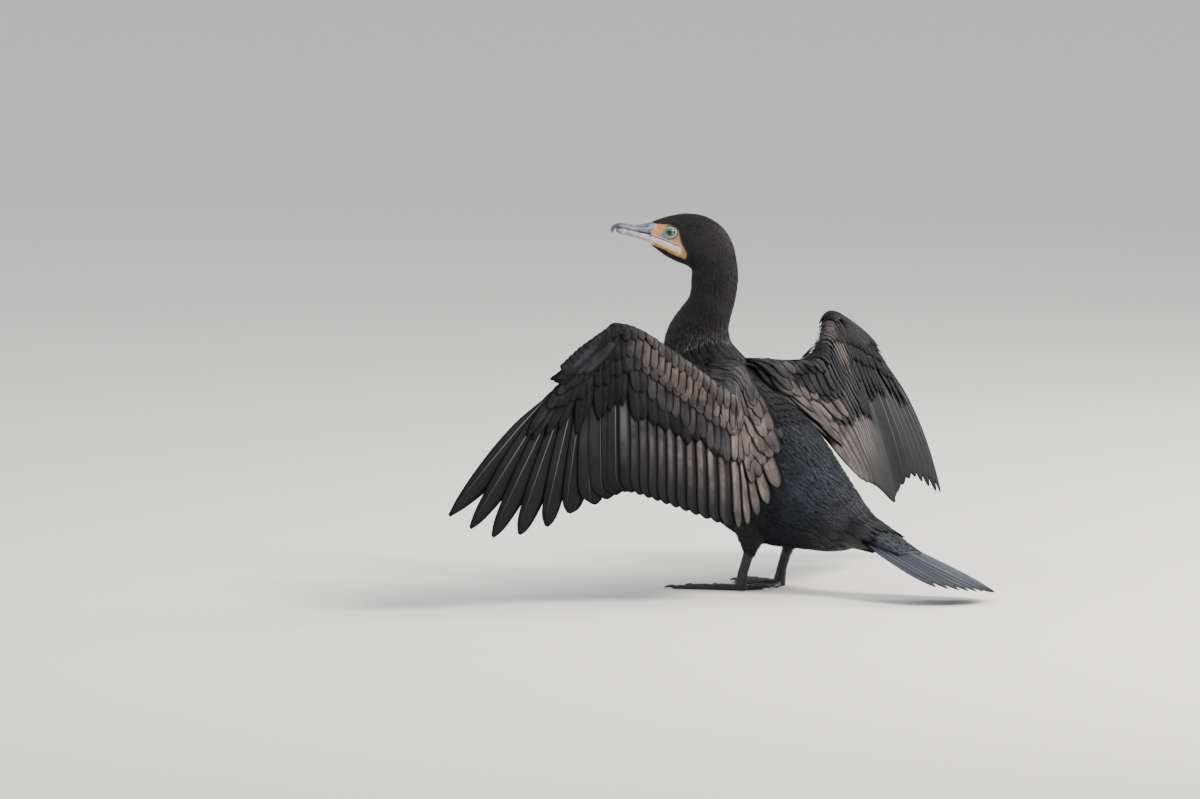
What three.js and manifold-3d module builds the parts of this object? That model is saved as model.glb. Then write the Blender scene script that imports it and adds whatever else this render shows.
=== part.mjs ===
// A slender freshwater cormorant, life size, standing on the floor with both wings held out to dry.
// Millimetres. X is the bird's right, Y the way its body faces, Z up, and the floor is Z = 0.
// The body is one skin through paired belly and back points, parted by thin cuts into torso, neck and head.
// Each wing is a curved surface between a line of feather roots and one of tips. Every vane lies on it.
import * as THREE from "three";
import { mergeVertices } from "three/addons/utils/BufferGeometryUtils.js";
import Module from "manifold-3d";

const wasm = await Module();
wasm.setup();

// Clear gap between two nodes that touch
const gap = 0.3;

// Body profile: along the spine, belly point (y, z), back point (y, z), half width, turn in degrees.
// The body's plane turns about the upright line through the top of the neck, as the head looks to the left.
const neckPivotY = 56;
const bodySides = 24;
const bodyProfile = [
  [0, -116, 46, -125, 68, 21, 0],
  [1, -86, 39, -106, 86, 30, 0],
  [2, -57, 39, -91, 101, 40, 0],
  [3, -23, 40, -76, 118, 48, 0],
  [4, 10, 45, -62, 135, 54, 0],
  [5, 37, 58, -47, 151, 57, 0],
  [6, 59, 78, -31, 164, 57.5, 0],
  [7, 86, 117, 0, 184, 54, 0],
  [8, 100, 160, 26, 204, 45, 0],
  [9, 104, 196, 42, 220, 33.5, 0],
  [10, 105, 220, 45, 231, 28.5, 2],
  [11, 98, 237, 43, 241, 26.5, 6],
  [12, 87, 251, 38, 254, 23.5, 13],
  [13, 78, 263, 35, 267, 21, 21],
  [14, 76, 277, 33.5, 281, 20.5, 29],
  [15, 76, 287, 35, 296, 20, 35],
  [16, 77.5, 289.5, 38.5, 311, 20.5, 38],
  [17, 79.5, 291, 47.5, 326, 20.5, 38],
  [18, 83.5, 292.8, 63, 336, 20, 38],
  [19, 91, 296, 79, 338.8, 18, 38],
  [20, 100, 300.8, 93, 337.2, 14.5, 38],
  [21, 107, 306, 104, 334.2, 10.6, 38],
  [22, 112.6, 310, 112.6, 331, 7.4, 38],
];
const cutAtNeck = 9.35;
const cutInNeck = 12.1;
const cutAtHead = 15;
const cutAtTail = 0.35;
const ringCount = { torso: 13, neck: 5, head: 12, rump: 5 };
// How far the next part starts past a cut, as a share of one step along the spine
const ringGap = 0.012;

// Head details, given by how far forward of the neck's upright line, height, and distance to each side
const eye = { forward: 38.5, z: 322.6, side: 10.2, radius: 5.6 };
const lid = { ring: 5.3, thick: 1.15, outside: 2 };
const gape = { height: 0.7, depth: 2.2, past: 6 };
// The line of the mouth on the cheek: forward, z
const gapeLine = [
  [31, 310.2],
  [44, 315],
  [58, 319.9],
];

// Bill profiles: forward, bottom z, top z, half width
const upperBill = [
  [57, 320.3, 330.9, 6.6],
  [63.8, 321.4, 329.4, 5],
  [70, 322.6, 328.6, 4],
  [76, 324, 328.9, 3.5],
  [82, 325.6, 330.2, 3.4],
  [87.5, 326, 330.1, 3.2],
];
// The hook's sections lean: bottom forward and z, top forward and z, half width
const billHook = [
  [90, 324.6, 92.2, 327.2, 2.4],
  [91.2, 322.6, 93.4, 323.8, 1.5],
  [91.2, 320.9, 92.2, 321.3, 0.5],
];
const lowerBill = [
  [57, 311, 319.6, 6.3],
  [63.8, 314, 320.8, 4.8],
  [70, 316.4, 322, 3.8],
  [76, 318.3, 323.4, 3.2],
  [82, 319.4, 325, 2.7],
  [86.5, 321, 325.4, 1.9],
  [88.8, 323, 324.9, 0.8],
];
const billSides = 12;
const nostril = { forward: 62, side: 5.3, z: 325.6, long: 5, high: 0.8, deep: 1 };

// Wings. Every vane has a place on the count from the body to the wing tip.
const count = { tertials: 5, secondaries: 14, primaries: 10 };
const elbowAt = count.tertials;
const wristAt = count.tertials + count.secondaries;
const wingTipAt = wristAt + count.primaries;
const stackSlope = 0.11;
const vaneThick = 0.6;
const wingBow = 0.035;

// Knots: place in the count, then outward, forward and up
const wings = {
  left: {
    side: -1,
    roots: [
      [0, 26, 16, 190],
      [2.5, 62, -6, 182],
      [5, 92, -26, 178],
      [12, 126, 8, 214],
      [19, 158, 40, 241],
      [24, 193, 49, 226],
      [29, 233, 53, 200],
    ],
    tips: [
      [0, 44, -58, 104],
      [1.5, 68, -57, 84],
      [3.5, 102, -60, 69],
      [5, 124, -62, 68],
      [12, 173, -34, 88],
      [19, 214, -10, 104],
      [20.5, 221, -3, 101],
      [22.5, 237, 8.5, 93],
      [23.5, 258, 21, 86],
      [24.5, 278, 31, 75],
      [26.5, 328, 53, 68],
      [28.5, 368, 71, 89],
    ],
    edge: [
      [0, 24, 52, 197],
      [5, 74, 60, 206],
      [12, 118, 54, 226],
      [18, 152, 51, 243],
      [19.5, 162, 48, 245],
      [24, 199, 54, 229],
      [29, 240, 58, 203],
    ],
  },
  right: {
    side: 1,
    roots: [
      [0, 26, 16, 190],
      [2.5, 48, 8, 192],
      [5, 72, -4, 194],
      [12, 112, 13, 212],
      [16, 136, 27, 224],
      [19, 156, 40, 233],
      [24, 192, 48, 222],
      [29, 232, 50, 203],
    ],
    tips: [
      [0, 46, -62, 110],
      [2.5, 70, -60, 96],
      [5, 98, -52, 90],
      [12, 148, -26, 78],
      [19, 192, -6, 64],
      [21, 204, 2, 70],
      [24, 240, 10, 84],
      [26, 276, 22, 74],
      [28, 318, 38, 62],
      [29, 332, 46, 62],
    ],
    edge: [
      [0, 24, 52, 197],
      [5, 70, 32, 190],
      [9, 95, 27, 198],
      [14, 124, 31, 207],
      [16, 136, 37, 219],
      [19, 156, 47, 236],
      [24, 198, 53, 226],
      [29, 238, 54, 206],
    ],
  },
};

// Half thickness of the fleshy arm: place in the count, at the leading edge, over the bone, at the rear
const armThick = [
  [0, 4, 9, 1.4],
  [5, 2.6, 8, 1.3],
  [12, 2.2, 6.6, 1.2],
  [19, 2.4, 5.4, 1.2],
  [24, 2, 4, 1.1],
  [29, 1.2, 2.6, 0.9],
];
const armReach = 0.27;
const armRingStep = 1.6;
// The parts of one wing keep this clear of each other, in steps of the count of vanes
const partGap = 0.035;

// Vane outlines: share of the length, share of the half width
const roundTip = [[0, 0.5], [0.4, 1], [0.84, 0.96], [0.955, 0.66], [1, 0.22]];
const longTip = [[0, 0.35], [0.35, 0.95], [0.7, 1], [0.9, 0.66], [1, 0.12]];
const shortVane = [[0, 0.5], [0.45, 0.95], [0.82, 0.85], [1, 0.3]];

// Lift over the wing surface: at the root, and further out
const flat = [0, 0];
const greater = [1.6, 2.9];
const median = [3.2, 5.2];

// Rows of vanes in each part: how many, start and end short of the part's ends, half widths at both ends,
// from and to as shares of the wing surface, outline, lift, and whether the shaft stands out
const vaneRows = {
  upper: [
    [count.tertials, [0, 0], [9, 9], [0.08, 1], roundTip, flat, false],
    [4, [0.1, 0.1], [9, 9], [0.1, 0.58], shortVane, greater, false],
    [4, [0.1, 0.1], [8.4, 8.4], [0.01, 0.36], shortVane, median, false],
  ],
  forearm: [
    [count.secondaries, [0, 0], [7.4, 7.4], [0.08, 1], roundTip, flat, false],
    [10, [0.1, 0.1], [8, 8], [0.1, 0.5], shortVane, greater, false],
    [8, [0.1, 0.1], [8.4, 8.4], [0.01, 0.27], shortVane, median, false],
  ],
  hand: [
    [count.primaries, [0, 0], [9, 12], [0.06, 1], longTip, flat, true],
    [8, [0.2, 0], [7.6, 7.6], [0.1, 0.42], shortVane, greater, false],
  ],
};

// Tail
const tail = {
  feathers: 12,
  rootY: -128,
  rootZ: 54,
  rootSpread: 17,
  tipY: -254,
  tipZ: 12,
  shortening: 30,
  tipSpread: 45,
  halfWidth: 8.4,
  arch: 4,
  roll: -0.1,
  layer: 0.69,
  lean: 0.05,
};
// The rump narrows from the torso to this flat oval, which holds the roots of the tail's feathers
const rump = { y: -168, z: 41, halfWidth: 17, half: 3.2, ease: 1.25 };

// Legs. Rings: share of the distance to the side, forward, height, half width, half depth
const leg = {
  side: 29,
  featherEndZ: 41,
  footY: 2,
  footZ: 9.5,
  thigh: [
    [0.9, -14, 84, 19.2, 24],
    [0.98, -13, 60, 17, 20],
    [1, -10, 48, 11, 13],
    [1, -9, 39, 6.6, 8],
  ],
  shaft: [
    [1, -9.5, 43, 5.2, 6.4],
    [1, -6, 32, 4, 5.2],
    [1, -0.5, 17, 3.8, 5],
    [1, 1.5, 7.5, 4.8, 5.8],
  ],
  heelPad: [
    [1, 1.5, 11.5, 4.8, 5.6],
    [1, 2, 5, 5.2, 6],
    [1, 2, -2, 4.6, 5.2],
  ],
};
const toes = [
  { name: "hallux", angle: -128, length: 22, width: 5 },
  { name: "inner", angle: -26, length: 38, width: 5.6 },
  { name: "middle", angle: -5, length: 54, width: 6 },
  { name: "outer", angle: 14, length: 64, width: 6.2 },
];
const toeHeight = 5.4;
const footYaw = 10;
// A toe swells at each joint: share of its length, of its half width, of its height
const toeJoints = [
  [0, 1.15, 1.1],
  [0.3, 0.9, 0.9],
  [0.36, 1.05, 0.95],
  [0.62, 0.8, 0.78],
  [0.68, 0.95, 0.84],
  [1, 0.6, 0.62],
];
// Section of a toe, flat below: share of the half width, share of the height
const toeSection = [[-0.8, 0], [0.8, 0], [1, 0.35], [0.6, 0.85], [0, 1], [-0.6, 0.85], [-1, 0.35]];
const web = { thick: 1.3, lift: 0.5, reach: 0.9, dip: 0.16, steps: 6 };
const claw = {
  reach: 7.74,
  bend: 1.35,
  rings: 4,
  sides: 6,
  halfWidth: 1.35,
  halfHeight: 1.6,
  taper: 0.88,
  rootZ: 1.9,
  slope: 0.2,
  drop: 1.1,
};

const colours = {
  plumage: [0x17181c, 0.75],
  wingFeather: [0x3a3836, 0.6],
  bill: [0x8f949c, 0.45],
  eye: [0x2f5a4f, 0.1],
  foot: [0x14161a, 0.55],
  claw: [0x0c0c0e, 0.35],
};

// A smooth value between knots [place, value, value...], straight beyond both ends
function smooth(knots, place) {
  const last = knots.length - 1;
  let n = 0;
  while (n < last - 1 && place > knots[n + 1][0]) n++;
  const a = knots[n];
  const b = knots[n + 1];
  const before = knots[Math.max(n - 1, 0)];
  const after = knots[Math.min(n + 2, last)];
  const span = b[0] - a[0];
  const t = (place - a[0]) / span;
  return a.slice(1).map((va, k) => {
    const vb = b[k + 1];
    const slopeA = (vb - before[k + 1]) / (b[0] - before[0]);
    const slopeB = (after[k + 1] - va) / (after[0] - a[0]);
    if (t < 0) return va + slopeA * (place - a[0]);
    if (t > 1) return vb + slopeB * (place - b[0]);
    const t2 = t * t;
    const t3 = t2 * t;
    return (
      va * (2 * t3 - 3 * t2 + 1) +
      slopeA * span * (t3 - 2 * t2 + t) +
      vb * (3 * t2 - 2 * t3) +
      slopeB * span * (t3 - t2)
    );
  });
}

const vec = (list) => new THREE.Vector3(...list);
const mix = (a, b, t) => a.clone().lerp(b, t);

// A closed triangle mesh as a solid, turned to face outwards
function solidFrom(points, triangles) {
  let volume = 0;
  for (const [a, b, c] of triangles) volume += points[a].dot(points[b].clone().cross(points[c]));
  const flat = new Float32Array(points.flatMap((p) => [p.x, p.y, p.z]));
  const order = new Uint32Array(triangles.flatMap(([a, b, c]) => (volume > 0 ? [a, b, c] : [a, c, b])));
  const geometry = new THREE.BufferGeometry();
  geometry.setAttribute("position", new THREE.BufferAttribute(flat, 3));
  geometry.setIndex(new THREE.BufferAttribute(order, 1));
  return solidOf(geometry);
}

// A three.js geometry as a manifold-3d solid
function solidOf(geometry) {
  const bare = geometry.clone();
  bare.deleteAttribute("normal");
  bare.deleteAttribute("uv");
  const merged = mergeVertices(bare, 1e-4);
  return new wasm.Manifold(
    new wasm.Mesh({
      numProp: 3,
      vertProperties: new Float32Array(merged.attributes.position.array),
      triVerts: new Uint32Array(merged.index.array),
    }),
  );
}

// A skin through rings of points, each ring with the same number of points, closed by a fan at each end
function loft(rings) {
  const sides = rings[0].length;
  const points = rings.flat();
  const triangles = [];
  for (let j = 0; j < rings.length - 1; j++) {
    for (let k = 0; k < sides; k++) {
      const next = (k + 1) % sides;
      const a = j * sides + k;
      const b = j * sides + next;
      triangles.push([a, b, b + sides], [a, b + sides, a + sides]);
    }
  }
  const ends = [
    [0, 1],
    [rings.length - 1, -1],
  ];
  for (const [j, way] of ends) {
    const middle = new THREE.Vector3();
    rings[j].forEach((p) => middle.addScaledVector(p, 1 / sides));
    points.push(middle);
    const centre = points.length - 1;
    for (let k = 0; k < sides; k++) {
      const a = j * sides + k;
      const b = j * sides + ((k + 1) % sides);
      triangles.push(way > 0 ? [centre, b, a] : [centre, a, b]);
    }
  }
  return solidFrom(points, triangles);
}

// A thin plate over a grid of places, with both faces split into triangles alike
function plate(grid, normals, halfThickness) {
  const rows = grid.length;
  const columns = grid[0].length;
  const points = [];
  for (const way of [1, -1]) {
    for (let j = 0; j < rows; j++) {
      for (let k = 0; k < columns; k++) {
        points.push(grid[j][k].clone().addScaledVector(normals[j][k], way * halfThickness(j, k)));
      }
    }
  }
  const at = (face, j, k) => (face * rows + j) * columns + k;
  const triangles = [];
  for (let j = 0; j < rows - 1; j++) {
    for (let k = 0; k < columns - 1; k++) {
      triangles.push([at(0, j, k), at(0, j + 1, k), at(0, j + 1, k + 1)]);
      triangles.push([at(0, j, k), at(0, j + 1, k + 1), at(0, j, k + 1)]);
      triangles.push([at(1, j, k), at(1, j + 1, k + 1), at(1, j + 1, k)]);
      triangles.push([at(1, j, k), at(1, j, k + 1), at(1, j + 1, k + 1)]);
    }
  }
  const rim = [];
  for (let k = 0; k < columns - 1; k++) rim.push([0, k]);
  for (let j = 0; j < rows - 1; j++) rim.push([j, columns - 1]);
  for (let k = columns - 1; k > 0; k--) rim.push([rows - 1, k]);
  for (let j = rows - 1; j > 0; j--) rim.push([j, 0]);
  rim.forEach(([j, k], n) => {
    const [j2, k2] = rim[(n + 1) % rim.length];
    triangles.push([at(0, j, k), at(0, j2, k2), at(1, j2, k2)]);
    triangles.push([at(0, j, k), at(1, j2, k2), at(1, j, k)]);
  });
  return solidFrom(points, triangles);
}

const join = (solids) => wasm.Manifold.union(solids);

// Only the largest closed surface, so that no scrap or sealed hollow stays
function largest(solid) {
  const bodies = solid.decompose();
  return bodies.reduce((a, b) => (b.volume() > a.volume() ? b : a));
}

const bird = new THREE.Group();
const materials = Object.fromEntries(
  Object.entries(colours).map(([name, [color, roughness]]) => [
    name,
    new THREE.MeshStandardMaterial({ color, roughness, metalness: 0 }),
  ]),
);

function add(name, solid, material) {
  const made = largest(solid).getMesh();
  const positions = new Float32Array(made.numVert * 3);
  for (let i = 0; i < made.numVert; i++) {
    positions.set(made.vertProperties.subarray(i * made.numProp, i * made.numProp + 3), i * 3);
  }
  const geometry = new THREE.BufferGeometry();
  geometry.setAttribute("position", new THREE.BufferAttribute(positions, 3));
  geometry.setIndex(new THREE.BufferAttribute(new Uint32Array(made.triVerts), 1));
  geometry.computeVertexNormals();
  const mesh = new THREE.Mesh(geometry, materials[material]);
  mesh.name = name;
  bird.add(mesh);
}

// A point of the turned body plane: forward along the plane, sideways off it, and up
function inPlane(y, side, z, turn) {
  const angle = THREE.MathUtils.degToRad(turn);
  const forward = y - neckPivotY;
  return new THREE.Vector3(
    side * Math.cos(angle) - forward * Math.sin(angle),
    neckPivotY + forward * Math.cos(angle) + side * Math.sin(angle),
    z,
  );
}
const headTurn = bodyProfile.at(-1)[6];
const onHead = (forward, side, z) => inPlane(neckPivotY + forward, side, z, headTurn);

// One ring of the body, grown outwards by a margin
function bodyRing(station, margin) {
  const [bellyY, bellyZ, backY, backZ, halfWidth, turn] = smooth(bodyProfile, station);
  const half = Math.hypot(backY - bellyY, backZ - bellyZ) / 2;
  const grow = (half + margin) / half;
  const ring = [];
  for (let k = 0; k < bodySides; k++) {
    const angle = (2 * Math.PI * k) / bodySides;
    const lift = Math.cos(angle) * grow;
    const y = (bellyY + backY) / 2 + ((backY - bellyY) / 2) * lift;
    const z = (bellyZ + backZ) / 2 + ((backZ - bellyZ) / 2) * lift;
    ring.push(inPlane(y, Math.sin(angle) * (halfWidth + margin), z, turn));
  }
  return ring;
}

function bodyLoft(from, to, rings, margin = 0) {
  const list = [];
  for (let n = 0; n <= rings; n++) list.push(bodyRing(from + ((to - from) * n) / rings, margin));
  return loft(list);
}

// The body's parts stop just short of one another. The grown torso is what its neighbours are cut clear of.
const lastStation = bodyProfile.at(-1)[0];
const rumpStation = cutAtTail - 0.02;
const torso = bodyLoft(cutAtTail, cutAtNeck, ringCount.torso);
const torsoGrown = bodyLoft(rumpStation, cutAtNeck + 0.1, ringCount.torso, gap);
add("torso", torso, "plumage");
add("neck_lower", bodyLoft(cutAtNeck + 2 * ringGap, cutInNeck, ringCount.neck), "plumage");
add("neck_upper", bodyLoft(cutInNeck + 2 * ringGap, cutAtHead, ringCount.neck), "plumage");

// The head takes sockets, lid rings and the line of the mouth
const ballSides = 12;
function ball(radius, centre) {
  const geometry = new THREE.SphereGeometry(radius, ballSides, ballSides / 2);
  geometry.translate(...centre.toArray());
  return solidOf(geometry);
}
const headSideways = onHead(0, 1, 0).sub(onHead(0, 0, 0));
let head = bodyLoft(cutAtHead + 3 * ringGap, lastStation, ringCount.head);
const eyeballs = [];
for (const side of [-1, 1]) {
  const centre = onHead(eye.forward, side * eye.side, eye.z);
  const ring = new THREE.TorusGeometry(lid.ring, lid.thick, 6, 14);
  const turned = new THREE.Quaternion().setFromUnitVectors(new THREE.Vector3(0, 0, 1), headSideways);
  ring.applyQuaternion(turned);
  const lidAt = onHead(eye.forward, side * (eye.side + lid.outside), eye.z);
  ring.translate(...lidAt.toArray());
  head = head.add(solidOf(ring)).subtract(ball(eye.radius + gap, centre));
  eyeballs.push([side < 0 ? "eye_left" : "eye_right", ball(eye.radius, centre)]);
}

// Half the head's width at a place on its side, from the ring that passes there
const cheek = { from: 17, rings: 60, near: 0.5 };
function cheekAt(forward, z) {
  let width = 0;
  for (let n = 0; n < cheek.rings; n++) {
    const station = cheek.from + (n * (lastStation - cheek.from)) / (cheek.rings - 1);
    const [bellyY, bellyZ, backY, backZ, halfWidth] = smooth(bodyProfile, station);
    const half = Math.hypot(backY - bellyY, backZ - bellyZ) / 2;
    const y = forward + neckPivotY - (bellyY + backY) / 2;
    const rise = z - (bellyZ + backZ) / 2;
    const along = (y * (backY - bellyY) + rise * (backZ - bellyZ)) / (2 * half * half);
    const off = Math.abs(y * (backZ - bellyZ) - rise * (backY - bellyY)) / (2 * half);
    if (off < cheek.near && Math.abs(along) < 1) {
      width = Math.max(width, halfWidth * Math.sqrt(1 - along * along));
    }
  }
  return width || bodyProfile.at(-1)[5];
}
for (const side of [-1, 1]) {
  const groove = gapeLine.map(([forward, z]) => {
    const inside = side * (cheekAt(forward, z) - gape.depth);
    const outside = side * (cheekAt(forward, z) + gape.past);
    return [
      onHead(forward, inside, z + gape.height / 2),
      onHead(forward, outside, z + gape.height),
      onHead(forward, outside, z - gape.height),
      onHead(forward, inside, z - gape.height / 2),
    ];
  });
  head = head.subtract(loft(groove));
}
add("head", head, "plumage");
for (const [name, solid] of eyeballs) add(name, solid, "eye");

// A bill half from sections across it, each bottom and top point with a half width
function billRing(bottom, top, halfWidth) {
  const ring = [];
  for (let k = 0; k < billSides; k++) {
    const angle = (2 * Math.PI * k) / billSides;
    const lift = (1 - Math.cos(angle)) / 2;
    const forward = bottom[0] + (top[0] - bottom[0]) * lift;
    const z = bottom[1] + (top[1] - bottom[1]) * lift;
    ring.push(onHead(forward, Math.sin(angle) * halfWidth, z));
  }
  return ring;
}
const straight = (rows) => rows.map(([f, low, high, half]) => billRing([f, low], [f, high], half));
const hook = billHook.map(([f1, z1, f2, z2, half]) => billRing([f1, z1], [f2, z2], half));
let upper = loft([...straight(upperBill), ...hook]);
for (const side of [-1, 1]) {
  const slit = new THREE.BoxGeometry(nostril.long, nostril.deep * 2, nostril.high);
  slit.rotateZ(THREE.MathUtils.degToRad(headTurn + 90));
  slit.translate(...onHead(nostril.forward, side * nostril.side, nostril.z).toArray());
  upper = upper.subtract(solidOf(slit));
}
add("bill_upper", upper, "bill");
add("bill_lower", loft(straight(lowerBill)), "bill");

// Wing surface, worked out in outward, forward, up and mirrored at the end
function wingSurface(pose) {
  const root = (i) => vec(smooth(pose.roots, i));
  const tip = (i) => vec(smooth(pose.tips, i));
  const straightPoint = (i, v) => mix(root(i), tip(i), v);
  const step = 0.05;
  const across = (i, v) => {
    const beyond = straightPoint(i + step, v);
    return beyond.sub(straightPoint(i - step, v)).divideScalar(2 * step);
  };
  const chord = (i) => tip(i).sub(root(i));
  const normal = (i, v) => chord(i).cross(across(i, v)).normalize();
  const point = (i, v, lift = 0) => {
    const bow = 4 * v * (1 - v) * wingBow * chord(i).length();
    return straightPoint(i, v).addScaledVector(normal(i, v), bow + lift);
  };
  const mirror = (p) => new THREE.Vector3(p.x * pose.side, p.y, p.z);
  return { pose, chord, across, normal, point, mirror };
}

// How far a vane has risen towards its full lift, by the share of its length
const riseShare = (share) => Math.min(1, share * 2.5);

// A vane on the wing surface. Its outer edge rides over the next vane towards the wing tip.
function wingVane(wing, o) {
  const columns = o.ridge ? [-1, 0, 1] : [-1, 1];
  const grid = [];
  const normals = [];
  for (const [share, wide] of o.outline) {
    const v = o.from + (o.to - o.from) * share;
    const across = wing.across(o.at, v);
    const chord = wing.chord(o.at);
    const skew = across.dot(chord) / chord.lengthSq();
    const reach = across.clone().addScaledVector(chord, -skew).length();
    const row = [];
    const up = [];
    for (const q of columns) {
      const sideways = q * wide * o.halfWidth;
      const places = sideways / reach;
      const rise = mixNumber(...o.lift, riseShare(share)) + sideways * stackSlope;
      row.push(wing.mirror(wing.point(o.at + places, v - places * skew, rise)));
      up.push(wing.mirror(wing.normal(o.at + places, v)));
    }
    grid.push(row);
    normals.push(up);
  }
  const last = o.outline.length - 1;
  return plate(grid, normals, (j, k) => {
    const ridge = o.ridge && k === 1 ? 1.6 : 1;
    const taper = j === last ? 0.6 : 1;
    return (vaneThick / 2) * ridge * taper;
  });
}

// One ring of the fleshy arm: from over the bone back under the coverts, or the web of skin before the bone
function armRing(wing, i, margin, front) {
  const [edgeThick, boneThick, rearThick] = smooth(armThick, i).map((t) => t + margin);
  const edge = vec(smooth(wing.pose.edge, i));
  const bone = wing.point(i, 0);
  const rear = wing.point(i, armReach);
  const rearUp = wing.normal(i, armReach);
  const along = wing.across(i, 0).normalize();
  const frontUp = bone.clone().sub(edge).cross(along).normalize();
  const boneUp = frontUp.clone().add(rearUp).normalize();
  const outwards = edge.clone().sub(bone).normalize();
  const halfway = mix(edge, bone, 0.45);
  const behind = mix(bone, rear, 0.5);
  const off = (p, up, t) => p.clone().addScaledVector(up, t);
  const skinTop = [off(halfway, frontUp, mixNumber(edgeThick, boneThick, 0.6))];
  const skinBottom = [off(halfway, frontUp, -mixNumber(edgeThick, boneThick, 0.5))];
  const tip = [
    off(edge, frontUp, -edgeThick),
    off(edge, outwards, edgeThick),
    off(edge, frontUp, edgeThick),
  ];
  const clear = off(bone, outwards, gap);
  if (front === "only") {
    const back = [off(clear, boneUp, boneThick), off(clear, boneUp, -boneThick)];
    return [...tip, ...skinTop, ...back, ...skinBottom].map(wing.mirror);
  }
  const back = [
    off(bone, boneUp, boneThick),
    off(behind, rearUp, mixNumber(boneThick, rearThick, 0.52)),
    off(rear, rearUp, rearThick),
    off(rear, rearUp, -rearThick),
    off(behind, rearUp, -mixNumber(boneThick, rearThick, 0.6)),
    off(bone, boneUp, -boneThick),
  ];
  return (front === "with" ? [...tip, ...skinTop, ...back, ...skinBottom] : back).map(wing.mirror);
}
function mixNumber(a, b, t) {
  return a + (b - a) * t;
}

// The fleshy arm between two places. A swollen one also reaches a little past both ends.
function arm(wing, from, to, front, margin = 0, reach = 0) {
  const steps = Math.max(3, Math.round((to - from) / armRingStep));
  const stops = Array.from({ length: steps + 1 }, (_, n) => from + ((to - from) * n) / steps);
  if (reach > 0) stops.unshift(from - reach);
  if (reach > 0) stops.push(to + reach);
  return loft(stops.map((i) => armRing(wing, i, margin, front)));
}

// The room that belongs to one part of the wing, so that its vanes stop short of the next part's
const roomRows = [-0.25, 0.1, 0.4, 0.7, 1, 1.25];
const roomHeight = 26;
const roomLength = 4;
function room(wing, from, to) {
  const rings = [];
  const steps = Math.ceil(to - from);
  for (let n = 0; n <= steps; n++) {
    const i = from + ((to - from) * n) / steps;
    const side = (way) => roomRows.map((v) => wing.point(i, v, way * roomHeight));
    rings.push([...side(1), ...side(-1).reverse()].map(wing.mirror));
  }
  return loft(rings);
}

// All vanes of one part of the wing
function vanesOf(wing, part, start, end) {
  const made = [];
  for (const [many, inset, halfWidths, [from, to], outline, lift, ridge] of vaneRows[part]) {
    for (let k = 0; k < many; k++) {
      const share = (k + 0.5) / many;
      const at = mixNumber(start + inset[0], end - inset[1], share);
      const halfWidth = mixNumber(...halfWidths, share);
      made.push(wingVane(wing, { at, from, to, halfWidth, outline, lift, ridge }));
    }
  }
  return join(made);
}

for (const [name, pose] of Object.entries(wings)) {
  const wing = wingSurface(pose);
  const parts = {
    upper: [0, elbowAt],
    forearm: [elbowAt, wristAt],
    hand: [wristAt, wingTipAt],
  };
  const order = Object.keys(parts);
  const clearSpan = (n) => {
    const [start, end] = parts[order[n]];
    return [n > 0 ? start + partGap : start, n < 2 ? end - partGap : end];
  };
  const swollen = order.map((_, n) => {
    const shifted = arm(wing, ...clearSpan(n), "with").translate([-pose.side * gap, 0, 0]);
    return arm(wing, ...clearSpan(n), "with", gap, partGap).add(shifted);
  });
  order.forEach((part, n) => {
    const [from, to] = clearSpan(n);
    let vaned = vanesOf(wing, part, ...parts[part]);
    let core = arm(wing, from, to, part === "hand" ? "with" : "without");
    let skin = part === "hand" ? null : arm(wing, from, to, "only").translate([0, gap, 0]);
    if (n > 0) vaned = vaned.subtract(swollen[n - 1]).subtract(room(wing, from - roomLength, from));
    if (n < 2) {
      vaned = vaned.subtract(swollen[n + 1]).subtract(room(wing, to, to + roomLength));
      vaned = vaned.subtract(arm(wing, from, to, "only", gap, partGap));
      core = core.subtract(swollen[n + 1]);
      skin = skin.subtract(swollen[n + 1]).subtract(arm(wing, from, to, "without", gap, partGap));
    }
    let whole = core.add(vaned);
    if (n === 0) {
      whole = whole.subtract(torsoGrown);
      skin = skin.subtract(torsoGrown);
    }
    add(`wing_${name}_${part}`, whole, "wingFeather");
    if (skin) add(`wing_${name}_${part}_front`, skin, "wingFeather");
  });
}

// Tail: the rump narrows to a root that carries stiff, graduated vanes
function tailPoint(lateral, along, lift) {
  const y = mixNumber(tail.rootY, tail.tipY + tail.shortening * lateral * lateral, along);
  const z = mixNumber(tail.rootZ, tail.tipZ, (y - tail.rootY) / (tail.tipY - tail.rootY));
  const x = lateral * mixNumber(tail.rootSpread, tail.tipSpread, along);
  return new THREE.Vector3(x, y, z - tail.arch * lateral * lateral * along + tail.roll * x * along + lift);
}
function tailVane(n) {
  const lateral = -1 + (2 * (n + 0.5)) / tail.feathers;
  const rank = Math.abs(lateral) * (tail.feathers / 2) - 0.5;
  const layer = -(rank + (lateral > 0 ? 0.5 : 0)) * tail.layer;
  const grid = longTip.map(([share, wide]) => {
    const centre = tailPoint(lateral, share, layer * (0.4 + 0.6 * share));
    return [-1, 0, 1].map((q) => {
      const sideways = q * wide * tail.halfWidth;
      return centre.clone().add(new THREE.Vector3(sideways, 0, -sideways * Math.sign(lateral) * tail.lean));
    });
  });
  const upward = new THREE.Vector3(0, -0.3, 1).normalize();
  const normals = grid.map((row) => row.map(() => upward));
  const lastRow = longTip.length - 1;
  return plate(grid, normals, (j, k) => {
    const shaft = k === 1 ? 1.7 : 1;
    const taper = j === lastRow ? 0.6 : 1;
    return (vaneThick / 2) * shaft * taper;
  });
}

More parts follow.
